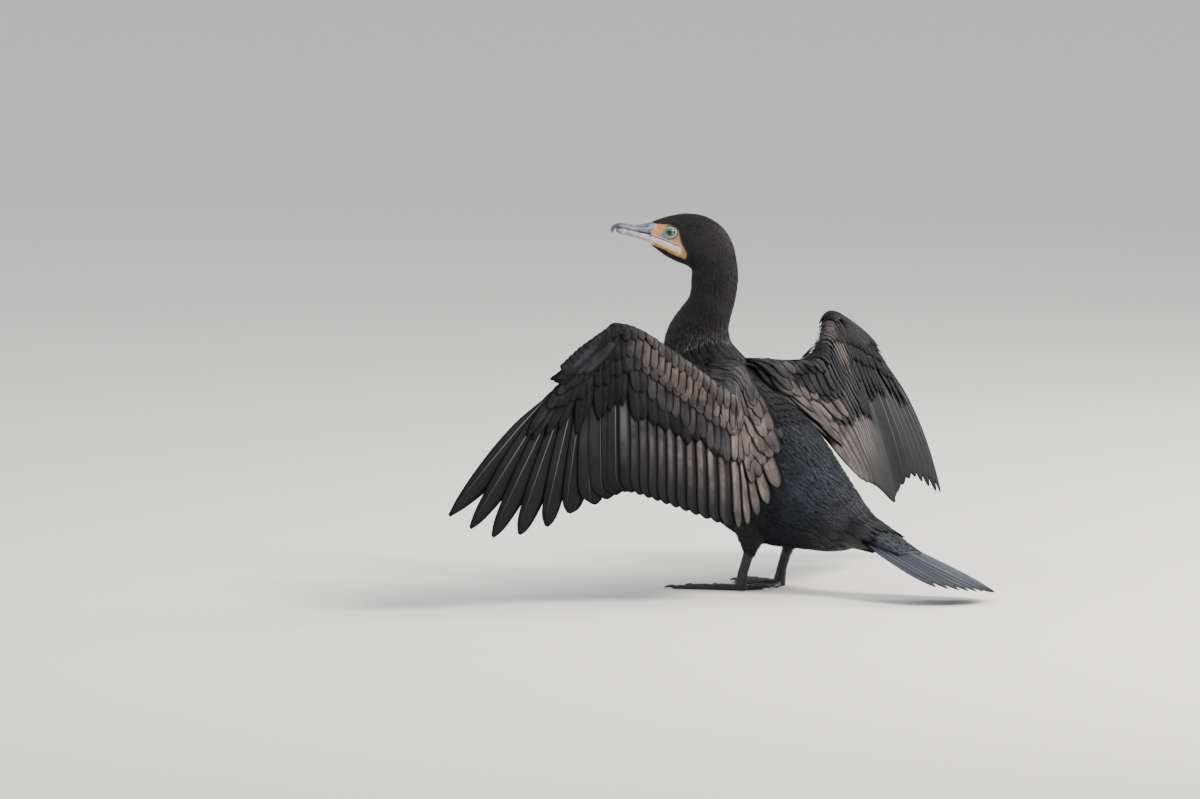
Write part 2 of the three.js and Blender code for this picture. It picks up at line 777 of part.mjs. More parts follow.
function rumpRing(t) {
  return bodyRing(rumpStation, 0).map((p, k) => {
    const angle = (2 * Math.PI * k) / bodySides;
    const z = rump.z + Math.cos(angle) * rump.half;
    const end = new THREE.Vector3(Math.sin(angle) * rump.halfWidth, rump.y, z);
    return p.lerp(end, 1 - (1 - t) ** rump.ease);
  });
}
const tailVanes = Array.from({ length: tail.feathers }, (_, n) => tailVane(n));
const rumpRings = Array.from({ length: ringCount.rump + 1 }, (_, n) => rumpRing(n / ringCount.rump));
add("tail", join([loft(rumpRings), ...tailVanes]), "plumage");

// Legs: feathered shank, bare shaft, webbed foot and four claws
const tubeSides = 10;
const thighSides = 14;
function tube(path, sides = tubeSides) {
  return loft(
    path.map(([p, radiusX, radiusY], n) => {
      const before = vec(path[Math.max(n - 1, 0)][0]);
      const after = vec(path[Math.min(n + 1, path.length - 1)][0]);
      const along = after.sub(before).normalize();
      const sideways = new THREE.Vector3(1, 0, 0);
      const front = along.clone().cross(sideways).normalize();
      return Array.from({ length: sides }, (_, k) => {
        const angle = (2 * Math.PI * k) / sides;
        return vec(p)
          .addScaledVector(sideways, Math.cos(angle) * radiusX)
          .addScaledVector(front, Math.sin(angle) * radiusY);
      });
    }),
  );
}

// A toe from the heel outwards, with a flat sole
function toeSolid(heel, way, across, toe) {
  return loft(
    toeJoints.map(([share, wide, high]) => {
      const centre = heel.clone().addScaledVector(way, share * toe.length);
      return toeSection.map(([a, b]) => {
        const p = centre.clone().addScaledVector(across, (a * wide * toe.width) / 2);
        return p.setZ(b * high * toeHeight);
      });
    }),
  );
}

function clawSolid(heel, way, across, toe) {
  const rings = Array.from({ length: claw.rings + 1 }, (_, n) => {
    const t = n / claw.rings;
    const size = 1 - claw.taper * t;
    const out = toe.length + gap + claw.reach * Math.sin(t * claw.bend);
    const centre = heel.clone().addScaledVector(way, out);
    centre.z = claw.rootZ - claw.slope * t - claw.drop * t * t;
    return Array.from({ length: claw.sides }, (_, k) => {
      const angle = (2 * Math.PI * k) / claw.sides;
      const p = centre.clone().addScaledVector(across, Math.cos(angle) * claw.halfWidth * size);
      return p.setZ(centre.z + Math.sin(angle) * claw.halfHeight * size);
    });
  });
  return loft(rings);
}

// The web between the toes, which ends short of their tips and dips between them
function webSolid(heel, toeWay) {
  const endOf = (toe) => heel.clone().addScaledVector(toeWay(toe), toe.length * web.reach);
  const outline = new THREE.Shape();
  outline.moveTo(heel.x, heel.y);
  toes.forEach((toe, n) => {
    const end = endOf(toe);
    if (n === 0) {
      outline.lineTo(end.x, end.y);
      return;
    }
    const dip = mix(endOf(toes[n - 1]), end, 0.5).lerp(heel, web.dip);
    outline.quadraticCurveTo(dip.x, dip.y, end.x, end.y);
  });
  outline.closePath();
  const sheet = new THREE.ExtrudeGeometry(outline, {
    depth: web.thick,
    bevelEnabled: false,
    curveSegments: web.steps,
  });
  sheet.translate(0, 0, web.lift);
  return solidOf(sheet);
}

const up = [0, 0, 1];
const down = [0, 0, -1];
for (const [name, side] of Object.entries({ left: -1, right: 1 })) {
  const x = side * leg.side;
  const path = (rows) => rows.map(([share, y, z, wide, deep]) => [[x * share, y, z], wide, deep]);
  const thigh = tube(path(leg.thigh), thighSides).subtract(torsoGrown).trimByPlane(up, leg.featherEndZ);
  add(`thigh_${name}`, thigh, "plumage");
  const shaft = tube(path(leg.shaft)).trimByPlane(down, gap - leg.featherEndZ).trimByPlane(up, leg.footZ);
  add(`leg_${name}`, shaft, "foot");

  // Toes spread from under the shaft, and webs join all four
  const heel = new THREE.Vector3(x, leg.footY, 0);
  const toeWay = (toe) => {
    const turn = THREE.MathUtils.degToRad(toe.angle + footYaw);
    return new THREE.Vector3(side * Math.sin(turn), Math.cos(turn), 0);
  };
  const pieces = [webSolid(heel, toeWay), tube(path(leg.heelPad))];
  const claws = [];
  for (const toe of toes) {
    const way = toeWay(toe);
    const across = new THREE.Vector3(-way.y, way.x, 0);
    pieces.push(toeSolid(heel, way, across, toe));
    claws.push([`claw_${name}_${toe.name}`, clawSolid(heel, way, across, toe)]);
  }
  const sole = join(pieces).trimByPlane(up, 0).trimByPlane(down, gap - leg.footZ);
  add(`foot_${name}`, sole, "foot");
  for (const [clawName, solid] of claws) add(clawName, solid, "claw");
}

// The origin is on the floor, under the middle of the whole bird
const box = new THREE.Box3().setFromObject(bird);
const middle = box.getCenter(new THREE.Vector3());
bird.position.set(-middle.x, -middle.y, 0);

export default bird;
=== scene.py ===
import math

import bpy
import numpy as np
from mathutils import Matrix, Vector


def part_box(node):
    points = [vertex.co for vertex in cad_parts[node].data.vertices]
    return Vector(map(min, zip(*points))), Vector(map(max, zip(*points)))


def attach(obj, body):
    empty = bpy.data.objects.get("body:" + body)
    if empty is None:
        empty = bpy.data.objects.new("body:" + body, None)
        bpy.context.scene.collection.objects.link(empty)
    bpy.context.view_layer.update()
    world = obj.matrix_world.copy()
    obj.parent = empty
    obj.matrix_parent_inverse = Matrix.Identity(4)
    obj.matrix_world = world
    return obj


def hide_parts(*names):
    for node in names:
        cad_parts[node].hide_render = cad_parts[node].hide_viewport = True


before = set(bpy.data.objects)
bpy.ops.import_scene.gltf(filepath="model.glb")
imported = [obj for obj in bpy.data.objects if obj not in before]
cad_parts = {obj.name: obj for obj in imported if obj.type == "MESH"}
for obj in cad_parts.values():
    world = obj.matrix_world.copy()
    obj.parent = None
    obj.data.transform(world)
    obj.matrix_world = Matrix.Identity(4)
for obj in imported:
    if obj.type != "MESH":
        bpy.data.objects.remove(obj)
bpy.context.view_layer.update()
random = np.random.default_rng(11)  # one seed, so that every run lays the same feathers

# A slender black cormorant that stands with both wings held out to dry.
# Shapes are worked out in millimetres, as the part is: X to the bird's right, Y the way its body faces,
# Z up. They are moved into the frame's metres as each mesh is made.
metre = 0.001

body = {
    # place along the spine, belly (y, z), back (y, z), half width, turn about the neck in degrees
    "profile": [
        [0, -116, 46, -125, 68, 21, 0],
        [1, -86, 39, -106, 86, 30, 0],
        [2, -57, 39, -91, 101, 40, 0],
        [3, -23, 40, -76, 118, 48, 0],
        [4, 10, 45, -62, 135, 54, 0],
        [5, 37, 58, -47, 151, 57, 0],
        [6, 59, 78, -31, 164, 57.5, 0],
        [7, 86, 117, 0, 184, 54, 0],
        [8, 100, 160, 26, 204, 45, 0],
        [9, 104, 196, 42, 220, 33.5, 0],
        [10, 105, 220, 45, 231, 28.5, 2],
        [11, 98, 237, 43, 241, 26.5, 6],
        [12, 87, 251, 38, 254, 23.5, 13],
        [13, 78, 263, 35, 267, 21, 21],
        [14, 76, 277, 33.5, 281, 20.5, 29],
        [15, 76, 287, 35, 296, 20, 35],
        [16, 77.5, 289.5, 38.5, 311, 20.5, 38],
        [17, 79.5, 291, 47.5, 326, 20.5, 38],
        [18, 83.5, 292.8, 63, 336, 20, 38],
        [19, 91, 296, 79, 338.8, 18, 38],
        [20, 100, 300.8, 93, 337.2, 14.5, 38],
        [21, 107, 306, 104, 334.2, 10.6, 38],
        [22, 112.6, 310, 112.6, 331, 7.4, 38],
    ],
    "pivotY": 56,
    "headTurn": 38,
    "rumpFrom": 0.35,
    "rumpSpan": 1.5,
    "rumpEnd": {"y": -168, "z": 41, "halfWidth": 17, "half": 3.2},
    "rumpEase": 1.25,
    # place along the spine, how far the skin lies inside the tips of its feathers
    "coatDepth": [
        [-1.15, 0.6],
        [0.3, 1.4],
        [3, 2.4],
        [7, 2.2],
        [10, 1.3],
        [14, 1],
        [17, 0.8],
        [20, 0.5],
        [22, 0.2],
    ],
    "headFrom": 15.5,
}
head = {
    "eyeForward": 38.5,
    "eyeZ": 322.6,
    "eyeSide": 10.2,
    "eyeRadius": 5.6,
    # the line of the mouth on the cheek, from its corner to the bill: forward, z
    "mouth": [[30.6, 309.9], [37, 312.4], [44, 315], [51, 317.6], [58, 319.9]],
    # the hollow round the eye: depth, and the distances from the eye where it starts and stops to rise
    "socket": [[4.6, 3.4, 6.3], [1.2, 6, 10]],
    # swellings, less than 0 for hollows: how far out, then middle and reach forward and upwards
    "brow": {"out": 0.9, "forward": [39, 8], "z": [331, 2.6]},
    "lores": {"out": -1.5, "forward": [50, 5], "z": [324, 3.4]},
    # along the mouth: how far out, then middle and reach above its line
    "lips": [[-1.1, 0, 0.5], [0.7, -3.4, 2.4], [0.35, 1.2, 0.7]],
    "jaw": [-0.5, -8, 2],
    "face": [18, 26],
    "lipsFrom": [29, 32],
    "flatMiddle": 4,
}


# 0 at low, 1 at high, smooth between
def smoothStep(low, high, x):
    t = np.clip((x - low) / (high - low), 0, 1)
    return t * t * (3 - 2 * t)


# 1 at the middle, and falls away softly on both sides
def hump(x, middle, reach):
    return np.exp(-(((x - middle) / reach) ** 2))


# A smooth line through values at the places at, straight beyond
# both ends. Both have one column for each x.
def throughKnots(at, values, x):
    rows = np.arange(len(x))
    last = len(at) - 1
    n = np.clip(np.sum(at < x, axis=0) - 1, 0, last - 1)
    before, after = np.maximum(n - 1, 0), np.minimum(n + 2, last)
    va, vb = values[n, rows], values[n + 1, rows]
    wide = lambda v: v[:, None]
    slopeA = (vb - values[before, rows]) / wide(at[n + 1, rows] - at[before, rows])
    slopeB = (values[after, rows] - va) / wide(at[after, rows] - at[n, rows])
    span = wide(at[n + 1, rows] - at[n, rows])
    t = wide(x - at[n, rows]) / span
    t2, t3 = t * t, t * t * t
    curve = va * (2 * t3 - 3 * t2 + 1) + slopeA * span * (t3 - 2 * t2 + t)
    curve += vb * (3 * t2 - 2 * t3) + slopeB * span * (t3 - t2)
    curve = np.where(t < 0, va + slopeA * span * t, curve)
    return np.where(t > 1, vb + slopeB * span * (t - 1), curve)


# The same through one table of knots, whose first column is the place
def smooth(knots, x):
    table = np.array(knots, float)
    flat = np.atleast_1d(np.asarray(x, float)).ravel()
    at = np.broadcast_to(table[:, :1], (len(table), len(flat)))
    values = np.broadcast_to(table[:, None, 1:], (len(table), len(flat), table.shape[1] - 1))
    return throughKnots(at, values, flat)


def unit(v):
    return v / np.maximum(np.linalg.norm(v, axis=-1, keepdims=True), 1e-9)


def dot(a, b):
    return np.sum(a * b, axis=-1)


# A point of the upright plane that turns about the neck, as x, y, z
def turnedPlane(y, side, z, turn):
    angle = np.radians(turn)
    forward = y - body["pivotY"]
    x = side * np.cos(angle) - forward * np.sin(angle)
    back = body["pivotY"] + forward * np.cos(angle) + side * np.sin(angle)
    return np.stack([x, back, z + 0 * x], axis=-1)


# A point of the turned head, by its place forward of the neck, its side and its height
def onHead(forward, side, z):
    forward, side, z = np.broadcast_arrays(*(np.asarray(v, float) for v in (forward, side, z)))
    return turnedPlane(body["pivotY"] + forward, side, z, body["headTurn"])


# How far the frame's millimetres lie from the ones used here, told by the middle of the left eye
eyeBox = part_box("eye_left")
eyeMiddle = np.array((eyeBox[0] + eyeBox[1]) / 2)
toFrame = eyeMiddle - onHead(head["eyeForward"], -head["eyeSide"], head["eyeZ"]) * metre


def mouthLine(forward):
    return smooth(head["mouth"], forward)[:, 0]


# How far the head's surface moves outwards at each place: the
# socket, brow, lores and the line of the mouth.
def headRelief(forward, side, z):
    fromEye = np.hypot(forward - head["eyeForward"], z - head["eyeZ"])
    below = z - mouthLine(forward)
    move = np.zeros(np.shape(forward))
    for depth, near, far in head["socket"]:
        move -= depth * (1 - smoothStep(near, far, fromEye))
    for swelling in (head["brow"], head["lores"]):
        move += swelling["out"] * hump(forward, *swelling["forward"]) * hump(z, *swelling["z"])
    for out, middle, reach in head["lips"]:
        move += out * hump(below, middle, reach) * smoothStep(*head["lipsFrom"], forward)
    out, middle, reach = head["jaw"]
    move += out * hump(below, middle, reach) * smoothStep(*head["face"], forward)
    return move * np.minimum(1, np.abs(side) / head["flatMiddle"])


# The body's skin. around is 0 on the back, pi on the belly, and grows towards the bird's right side.
def bodyPoint(station, around, margin=0.0):
    station, around, margin = np.broadcast_arrays(np.asarray(station, float), around, margin)
    shape = station.shape
    station, around, margin = station.ravel(), around.ravel(), margin.ravel()
    rings = smooth(body["profile"], np.maximum(station, body["rumpFrom"]))
    bellyY, bellyZ, backY, backZ, halfWidth, turn = rings.T
    half = np.hypot(backY - bellyY, backZ - bellyZ) / 2
    lift = np.cos(around) * (half + margin) / half
    y = (bellyY + backY) / 2 + (backY - bellyY) / 2 * lift
    z = (bellyZ + backZ) / 2 + (backZ - bellyZ) / 2 * lift
    side = np.sin(around) * (halfWidth + margin)
    onFace = station > body["headFrom"]
    if onFace.any():
        move = headRelief(y[onFace] - body["pivotY"], side[onFace], z[onFace])
        side[onFace] += np.sign(side[onFace]) * move
    point = turnedPlane(y, side, z, turn)
    end = body["rumpEnd"]
    last = np.stack(
        [
            np.sin(around) * (end["halfWidth"] + margin),
            end["y"] + 0 * around,
            end["z"] + np.cos(around) * (end["half"] + margin),
        ],
        axis=-1,
    )
    t = np.clip((body["rumpFrom"] - station) / body["rumpSpan"], 0, 1)
    share = 1 - (1 - t) ** body["rumpEase"]
    return (point + (last - point) * share[:, None]).reshape(*shape, 3)


def skinDepth(station):
    return smooth(body["coatDepth"], station)[:, 0].reshape(np.shape(station))


# Mesh making


def deselect():
    if bpy.context.mode != "OBJECT":
        bpy.ops.object.mode_set(mode="OBJECT")
    bpy.ops.object.select_all(action="DESELECT")


def pointsOf(obj):
    flat = np.zeros(len(obj.data.vertices) * 3)
    obj.data.vertices.foreach_get("co", flat)
    return flat.reshape(-1, 3)


def setPoints(obj, points):
    obj.data.vertices.foreach_set("co", np.asarray(points, np.float32).ravel())
    obj.data.update()


def editMode(obj):
    deselect()
    obj.select_set(True)
    bpy.context.view_layer.objects.active = obj
    bpy.ops.object.mode_set(mode="EDIT")
    bpy.ops.mesh.select_all(action="SELECT")


# A grid rolled into a closed sleeve. place gives each point from
# its row and column shares, in millimetres.
def sleeve(name, rows, columns, place):
    deselect()
    bpy.ops.mesh.primitive_grid_add(x_subdivisions=rows - 1, y_subdivisions=columns, size=2)
    obj = bpy.context.object
    obj.name = obj.data.name = name
    flat = pointsOf(obj)
    row = np.rint((flat[:, 0] + 1) / 2 * (rows - 1)).astype(int)
    column = np.rint((flat[:, 1] + 1) / 2 * columns).astype(int) % columns
    points, marks = place(row, column)
    setPoints(obj, points * metre + toFrame)
    for key, values in marks.items():
        mark(obj, key, values)
    editMode(obj)
    bpy.ops.mesh.remove_doubles(threshold=1e-6)
    bpy.ops.mesh.select_all(action="DESELECT")
    bpy.ops.mesh.select_mode(type="EDGE")
    bpy.ops.mesh.select_non_manifold()
    bpy.ops.mesh.fill_holes(sides=0)
    bpy.ops.mesh.select_mode(type="VERT")
    bpy.ops.mesh.select_all(action="SELECT")
    bpy.ops.mesh.normals_make_consistent(inside=False)
    bpy.ops.object.mode_set(mode="OBJECT")
    obj.data.shade_smooth()
    return obj


# Keeps a vector for each point, which the materials read.
def mark(obj, key, values):
    values = np.asarray(values, np.float32)
    layer = obj.data.attributes.new(key, "FLOAT_VECTOR", "POINT")
    layer.data.foreach_set("vector", values.ravel())


# One thin vane, modelled once: two faces that share a rim. x
# runs across, y from root to tip, z is the face.
def vaneShape(columns, rows):
    deselect()
    bpy.ops.mesh.primitive_grid_add(x_subdivisions=columns - 1, y_subdivisions=rows - 1, size=2)
    obj = bpy.context.object
    editMode(obj)
    bpy.ops.mesh.duplicate()
    bpy.ops.mesh.flip_normals()
    bpy.ops.object.mode_set(mode="OBJECT")
    points = pointsOf(obj)
    half = len(points) // 2
    inside = (np.abs(points[:, 0]) < 0.999) & (np.abs(points[:, 1]) < 0.999)
    points[:, 2] = np.where(inside, np.where(np.arange(len(points)) < half, 1, -1), 0)
    setPoints(obj, points)
    editMode(obj)
    bpy.ops.mesh.remove_doubles(threshold=1e-4)
    bpy.ops.mesh.quads_convert_to_tris()
    bpy.ops.object.mode_set(mode="OBJECT")
    points = pointsOf(obj)
    triangles = np.array([tuple(p.vertices) for p in obj.data.polygons])
    shape = {"x": points[:, 0], "y": (points[:, 1] + 1) / 2, "z": points[:, 2], "triangles": triangles}
    bpy.data.objects.remove(obj)
    return shape


# One mesh from many copies of a shape: points (copies, points, 3), with a UV patch for each copy.
def meshOfCopies(name, points, triangles, marks, uv):
    copies, each, _ = points.shape
    faces = (triangles[None] + (np.arange(copies) * each)[:, None, None]).reshape(-1, 3)
    mesh = bpy.data.meshes.new(name)
    mesh.vertices.add(copies * each)
    mesh.vertices.foreach_set("co", (points * metre + toFrame).astype(np.float32).ravel())
    mesh.loops.add(faces.size)
    mesh.loops.foreach_set("vertex_index", faces.astype(np.int32).ravel())
    mesh.polygons.add(len(faces))
    mesh.polygons.foreach_set("loop_start", np.arange(0, faces.size, 3, dtype=np.int32))
    mesh.update(calc_edges=True)
    mesh.validate()
    obj = bpy.data.objects.new(name, mesh)
    bpy.context.scene.collection.objects.link(obj)
    layer = mesh.uv_layers.new(name="OFBake")
    layer.data.foreach_set("uv", uv.reshape(-1, 2)[faces.ravel()].astype(np.float32).ravel())
    for key, values in marks.items():
        mark(obj, key, values)
    mesh.shade_smooth()
    return obj


# How a surface runs at each place, along both of its ways
def slopes(surface, a, b):
    step = 0.004
    alongA = (surface(a + step, b) - surface(a - step, b)) / (2 * step)
    alongB = (surface(a, b + step) - surface(a, b - step)) / (2 * step)
    return alongA, alongB


# How far it is along a line of points from its start to each of them
def runAlong(line):
    return np.concatenate([[0], np.cumsum(np.linalg.norm(np.diff(line, axis=0), axis=1))])


# Lays one vane at each place (a, b) of a surface. heading is the way it points, in space. look has its
# outline, and length, width, thick, sink, base, rise, camber, roll and curve, each one number or one for
# each vane. far vanes measure the surface all along them, small ones only at their roots.
def layVanes(surface, a, b, heading, shape, look):
    outwards = look.get("outwards", 1)
    get = lambda key: np.broadcast_to(np.asarray(look.get(key, 0.0), float), a.shape)[:, None]
    x, y, z = shape["x"][None], shape["y"][None], shape["z"][None]
    outline = np.array(look["outline"])
    wide = np.interp(y, outline[:, 0], outline[:, 1])
    forward = y * get("length") - np.abs(x) * wide * get("width") * look.get("swept", 0.15)
    sideways = x * wide * get("width") / 2 + get("curve") * y * y

    alongA, alongB = slopes(surface, a, b)
    up = unit(np.cross(alongA, alongB)) * outwards
    along = unit(heading - up * dot(heading, up)[:, None])
    fa, fb = inPlaces(alongA, alongB, along)
    placeA, placeB = a[:, None] + fa[:, None] * forward, b[:, None] + fb[:, None] * forward
    across = np.cross(up, along)
    if look.get("far"):
        middleA, middleB = placeA.ravel(), placeB.ravel()
        alongA, alongB = slopes(surface, middleA, middleB)
        up = unit(np.cross(alongA, alongB)) * outwards
        across = np.repeat(across, len(shape["x"]), axis=0)
        across = unit(across - up * dot(across, up)[:, None])
    sa, sb = inPlaces(alongA, alongB, across)
    rows = (-1, len(shape["x"])) if look.get("far") else (-1, 1)
    placeA = placeA + sa.reshape(rows) * sideways
    placeB = placeB + sb.reshape(rows) * sideways
    points = surface(placeA.ravel(), placeB.ravel()).reshape(*placeA.shape, 3)
    fullness = np.sin(np.pi * np.clip(y * 0.9 + 0.08, 0, 1)) * (1 - 0.55 * np.abs(x))
    height = get("base") + get("rise") * y - get("sink") * (1 - y) ** 4
    height = height + get("camber") * (1 - x * x) * y + get("roll") * x + z * fullness * get("thick") / 2
    return points + up.reshape(*rows, 3) * height[:, :, None]


# How far a step in space goes along each of a surface's two ways.
def inPlaces(alongA, alongB, way):
    aa, ab, bb = dot(alongA, alongA), dot(alongA, alongB), dot(alongB, alongB)
    wa, wb = dot(way, alongA), dot(way, alongB)
    det = aa * bb - ab * ab
    return (wa * bb - wb * ab) / det, (wb * aa - wa * ab) / det


# What the materials read on each vane: across, along, a number of its own, and its tones
def vaneMarks(shape, count, tone):
    seed = random.random(count)
    vane = np.empty((count, len(shape["x"]), 3))
    vane[:, :, 0] = shape["x"]
    vane[:, :, 1] = shape["y"]
    vane[:, :, 2] = seed[:, None]
    tones = np.repeat(np.asarray(tone, float)[:, None, :], len(shape["x"]), axis=1)
    return {"vane": vane.reshape(-1, 3), "tone": tones.reshape(-1, 3)}


bakePatch = 0.003  # a small feather's share of the width of the baked picture


# A patch of the baked picture for each vane, about u and v
def patches(shape, u, v, wide, high):
    uv = np.empty((len(u), len(shape["x"]), 2))
    uv[:, :, 0] = u[:, None] + shape["x"] * wide / 2
    uv[:, :, 1] = v[:, None] + (shape["y"] - 0.5) * high
    return uv


# Gives a piece its material, and lets it take the place of the plain nodes named. Its slot is not used.
def finishPiece(obj, material, slot, *nodes):
    obj.data.materials.clear()
    obj.data.materials.append(material)
    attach(obj, "root")
    if nodes:
        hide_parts(*nodes)
    return obj


# Shader maths


# A socket that can be added, multiplied and so on.
class Value:
    def __init__(self, shader, socket):
        self.shader = shader
        self.socket = socket

    def do(self, operation, *others):
        return self.shader.node("ShaderNodeMath", {"operation": operation}, [self, *others])

    def __add__(self, other):
        return self.do("ADD", other)

    def __sub__(self, other):
        return self.do("SUBTRACT", other)

    def __mul__(self, other):
        return self.do("MULTIPLY", other)

    def __truediv__(self, other):
        return self.do("DIVIDE", other)

    def __rsub__(self, other):
        return self.shader.node("ShaderNodeMath", {"operation": "SUBTRACT"}, [other, self])

    __radd__ = __add__
    __rmul__ = __mul__

    # 0 below low, 1 above high, smooth between.
    def step(self, low, high):
        settings = {"interpolation_type": "SMOOTHSTEP"}
        inputs = {"Value": self, "From Min": low, "From Max": high}
        return self.shader.node("ShaderNodeMapRange", settings, inputs)


class Shader:
    def __init__(self, name):
        self.material = bpy.data.materials.new(name)
        self.material.use_nodes = True
        self.tree = self.material.node_tree
        self.surface = self.tree.nodes["Principled BSDF"]

    def node(self, kind, settings=None, inputs=None, out=0):
        made = self.tree.nodes.new(kind)
        for key, value in (settings or {}).items():
            setattr(made, key, value)
        pairs = inputs.items() if isinstance(inputs, dict) else enumerate(inputs or [])
        for key, value in pairs:
            self.put(made.inputs[key], value)
        return Value(self, made.outputs[out])

    def put(self, socket, value):
        if isinstance(value, Value):
            self.tree.links.new(value.socket, socket)
        elif isinstance(value, tuple) and socket.type == "RGBA" and len(value) == 3:
            socket.default_value = (*value, 1)
        else:
            socket.default_value = value

    def set(self, **values):
        for key, value in values.items():
            self.put(self.surface.inputs[key.replace("_", " ")], value)

    # The three numbers of a stored vector.
    def split(self, key):
        stored = self.node("ShaderNodeAttribute", {"attribute_name": key}, out=1)
        parts = self.node("ShaderNodeSeparateXYZ", None, [stored])
        return [Value(self, parts.socket.node.outputs[n]) for n in range(3)]

    def mix(self, share, first, second):
        made = self.node("ShaderNodeMix", {"data_type": "RGBA"}, {"Factor": share})
        sockets = [s for s in made.socket.node.inputs if s.type == "RGBA"]
        self.put(sockets[0], first)
        self.put(sockets[1], second)
        return Value(self, [s for s in made.socket.node.outputs if s.type == "RGBA"][0])

    def place(self, scale=(1, 1, 1)):
        where = self.node("ShaderNodeTexCoord", out=3)
        return self.node("ShaderNodeMapping", None, {"Vector": where, "Scale": scale})

    def noise(self, where, scale, detail=3.0, rough=0.55):
        inputs = {"Vector": where, "Scale": scale, "Detail": detail, "Roughness": rough}
        return self.node("ShaderNodeTexNoise", None, inputs)

    def bump(self, height, distance):
        inputs = {"Height": height, "Distance": distance, "Strength": 1.0}
        self.put(self.surface.inputs["Normal"], self.node("ShaderNodeBump", None, inputs))


def linear(level):
    if level > 10:
        return ((level / 255 + 0.055) / 1.055) ** 2.4
    return level / 255 / 12.92


# A colour as it looks on the screen, 0 to 255, in the linear numbers that a shader takes
def srgb(red, green, blue):
    return linear(red), linear(green), linear(blue)


# Small body feathers and the skin between them. tone is painted sheen
# on the back, brown of the neck, pale flecks.
def plumageMaterial(name):
    s = Shader(name)
    paintedSheen, brown, pale = s.split("tone")
    across, along, seed = s.split("vane")
    mottle = s.noise(s.place(), 62, 4, 0.6)
    fine = s.noise(s.place(), 420, 2, 0.6)
    black = s.mix(mottle, srgb(12, 13, 17), srgb(24, 26, 32))
    slate = s.mix(mottle.step(0.3, 0.7), srgb(27, 29, 35), srgb(62, 66, 76))
    umber = s.mix(mottle.step(0.3, 0.72), srgb(20, 16, 16), srgb(46, 36, 35))
    # a slate-blue painted sheen in the colour, strongest towards the tips
    colour = s.mix(paintedSheen * (along * 0.5 + 0.5) * (fine.step(0.25, 0.7) * 0.5 + 0.5), black, slate)
    colour = s.mix(brown * (0.55 + 0.45 * along), colour, umber)
    colour = s.mix(pale * along.step(0.45, 0.95) * seed.step(0.2, 0.9), colour, srgb(94, 85, 77))
    # painted shade: the root of each tuft, where the next tufts overlap it, is made near black
    colour = s.mix((0.45 - along).step(0.0, 0.45) * 0.55, colour, srgb(8, 8, 10))
    s.set(Base_Color=colour, Roughness=0.5 + mottle * 0.18, Sheen_Weight=0.08, Sheen_Roughness=0.4)
    s.set(Sheen_Tint=(0.62, 0.7, 0.85, 1), Specular_IOR_Level=0.26)
    s.bump(s.noise(s.place((1, 1, 0.5)), 900, 2) * 0.6 + (across * 9).do("SINE") * 0.2, 0.0004)
    return s.material


# The body's skin: feathered black, with the bare face in front of the eye and round the gape.
def skinMaterial(name):
    s = Shader(name)
    paintedSheen, brown, _ = s.split("tone")
    bare, cream, orange = s.split("face")
    ochre, grey, paintedFaceShade = s.split("face2")
    mottle = s.noise(s.place(), 62, 4, 0.6)
    beads = s.node("ShaderNodeTexVoronoi", None, {"Vector": s.place(), "Scale": 1150.0})
    lines = s.noise(s.place((1, 1, 2.2)), 480, 4, 0.6)
    black = s.mix(mottle, srgb(9, 9, 12), srgb(18, 19, 24))
    # painted sheen on the feathered skin
    colour = s.mix(paintedSheen, black, srgb(40, 45, 56))
    colour = s.mix(brown, colour, srgb(26, 21, 21))
    naked = s.mix(lines.step(0.35, 0.7), srgb(150, 112, 62), srgb(186, 150, 92))
    naked = s.mix(orange, naked, s.mix(lines.step(0.3, 0.7), srgb(186, 106, 44), srgb(226, 152, 84)))
    naked = s.mix(grey, naked, s.mix(lines, srgb(86, 102, 94), srgb(132, 146, 134)))
    naked = s.mix(ochre, naked, s.mix(lines.step(0.35, 0.65), srgb(150, 104, 26), srgb(196, 148, 58)))
    naked = s.mix(cream, naked, s.mix(lines.step(0.4, 0.66), srgb(206, 190, 170), srgb(238, 228, 212)))
    # painted shade along the crease of the mouth and under the bill
    naked = s.mix(paintedFaceShade, naked, srgb(34, 30, 24))
    colour = s.mix(bare, colour, naked)
    s.set(Base_Color=colour, Roughness=0.62 - bare * 0.16, Specular_IOR_Level=0.45)
    s.bump(bare * beads * 0.8 + lines * 0.5, 0.00035)
    return s.material


# Markings, the same for skin and coat, told by place along the body and, on the head, by forward and z


# forward and z of points given in millimetres
def facePlace(points):
    angle = math.radians(body["headTurn"])
    x, y = points[..., 0], points[..., 1] - body["pivotY"]
    return y * math.cos(angle) - x * math.sin(angle), points[..., 2]


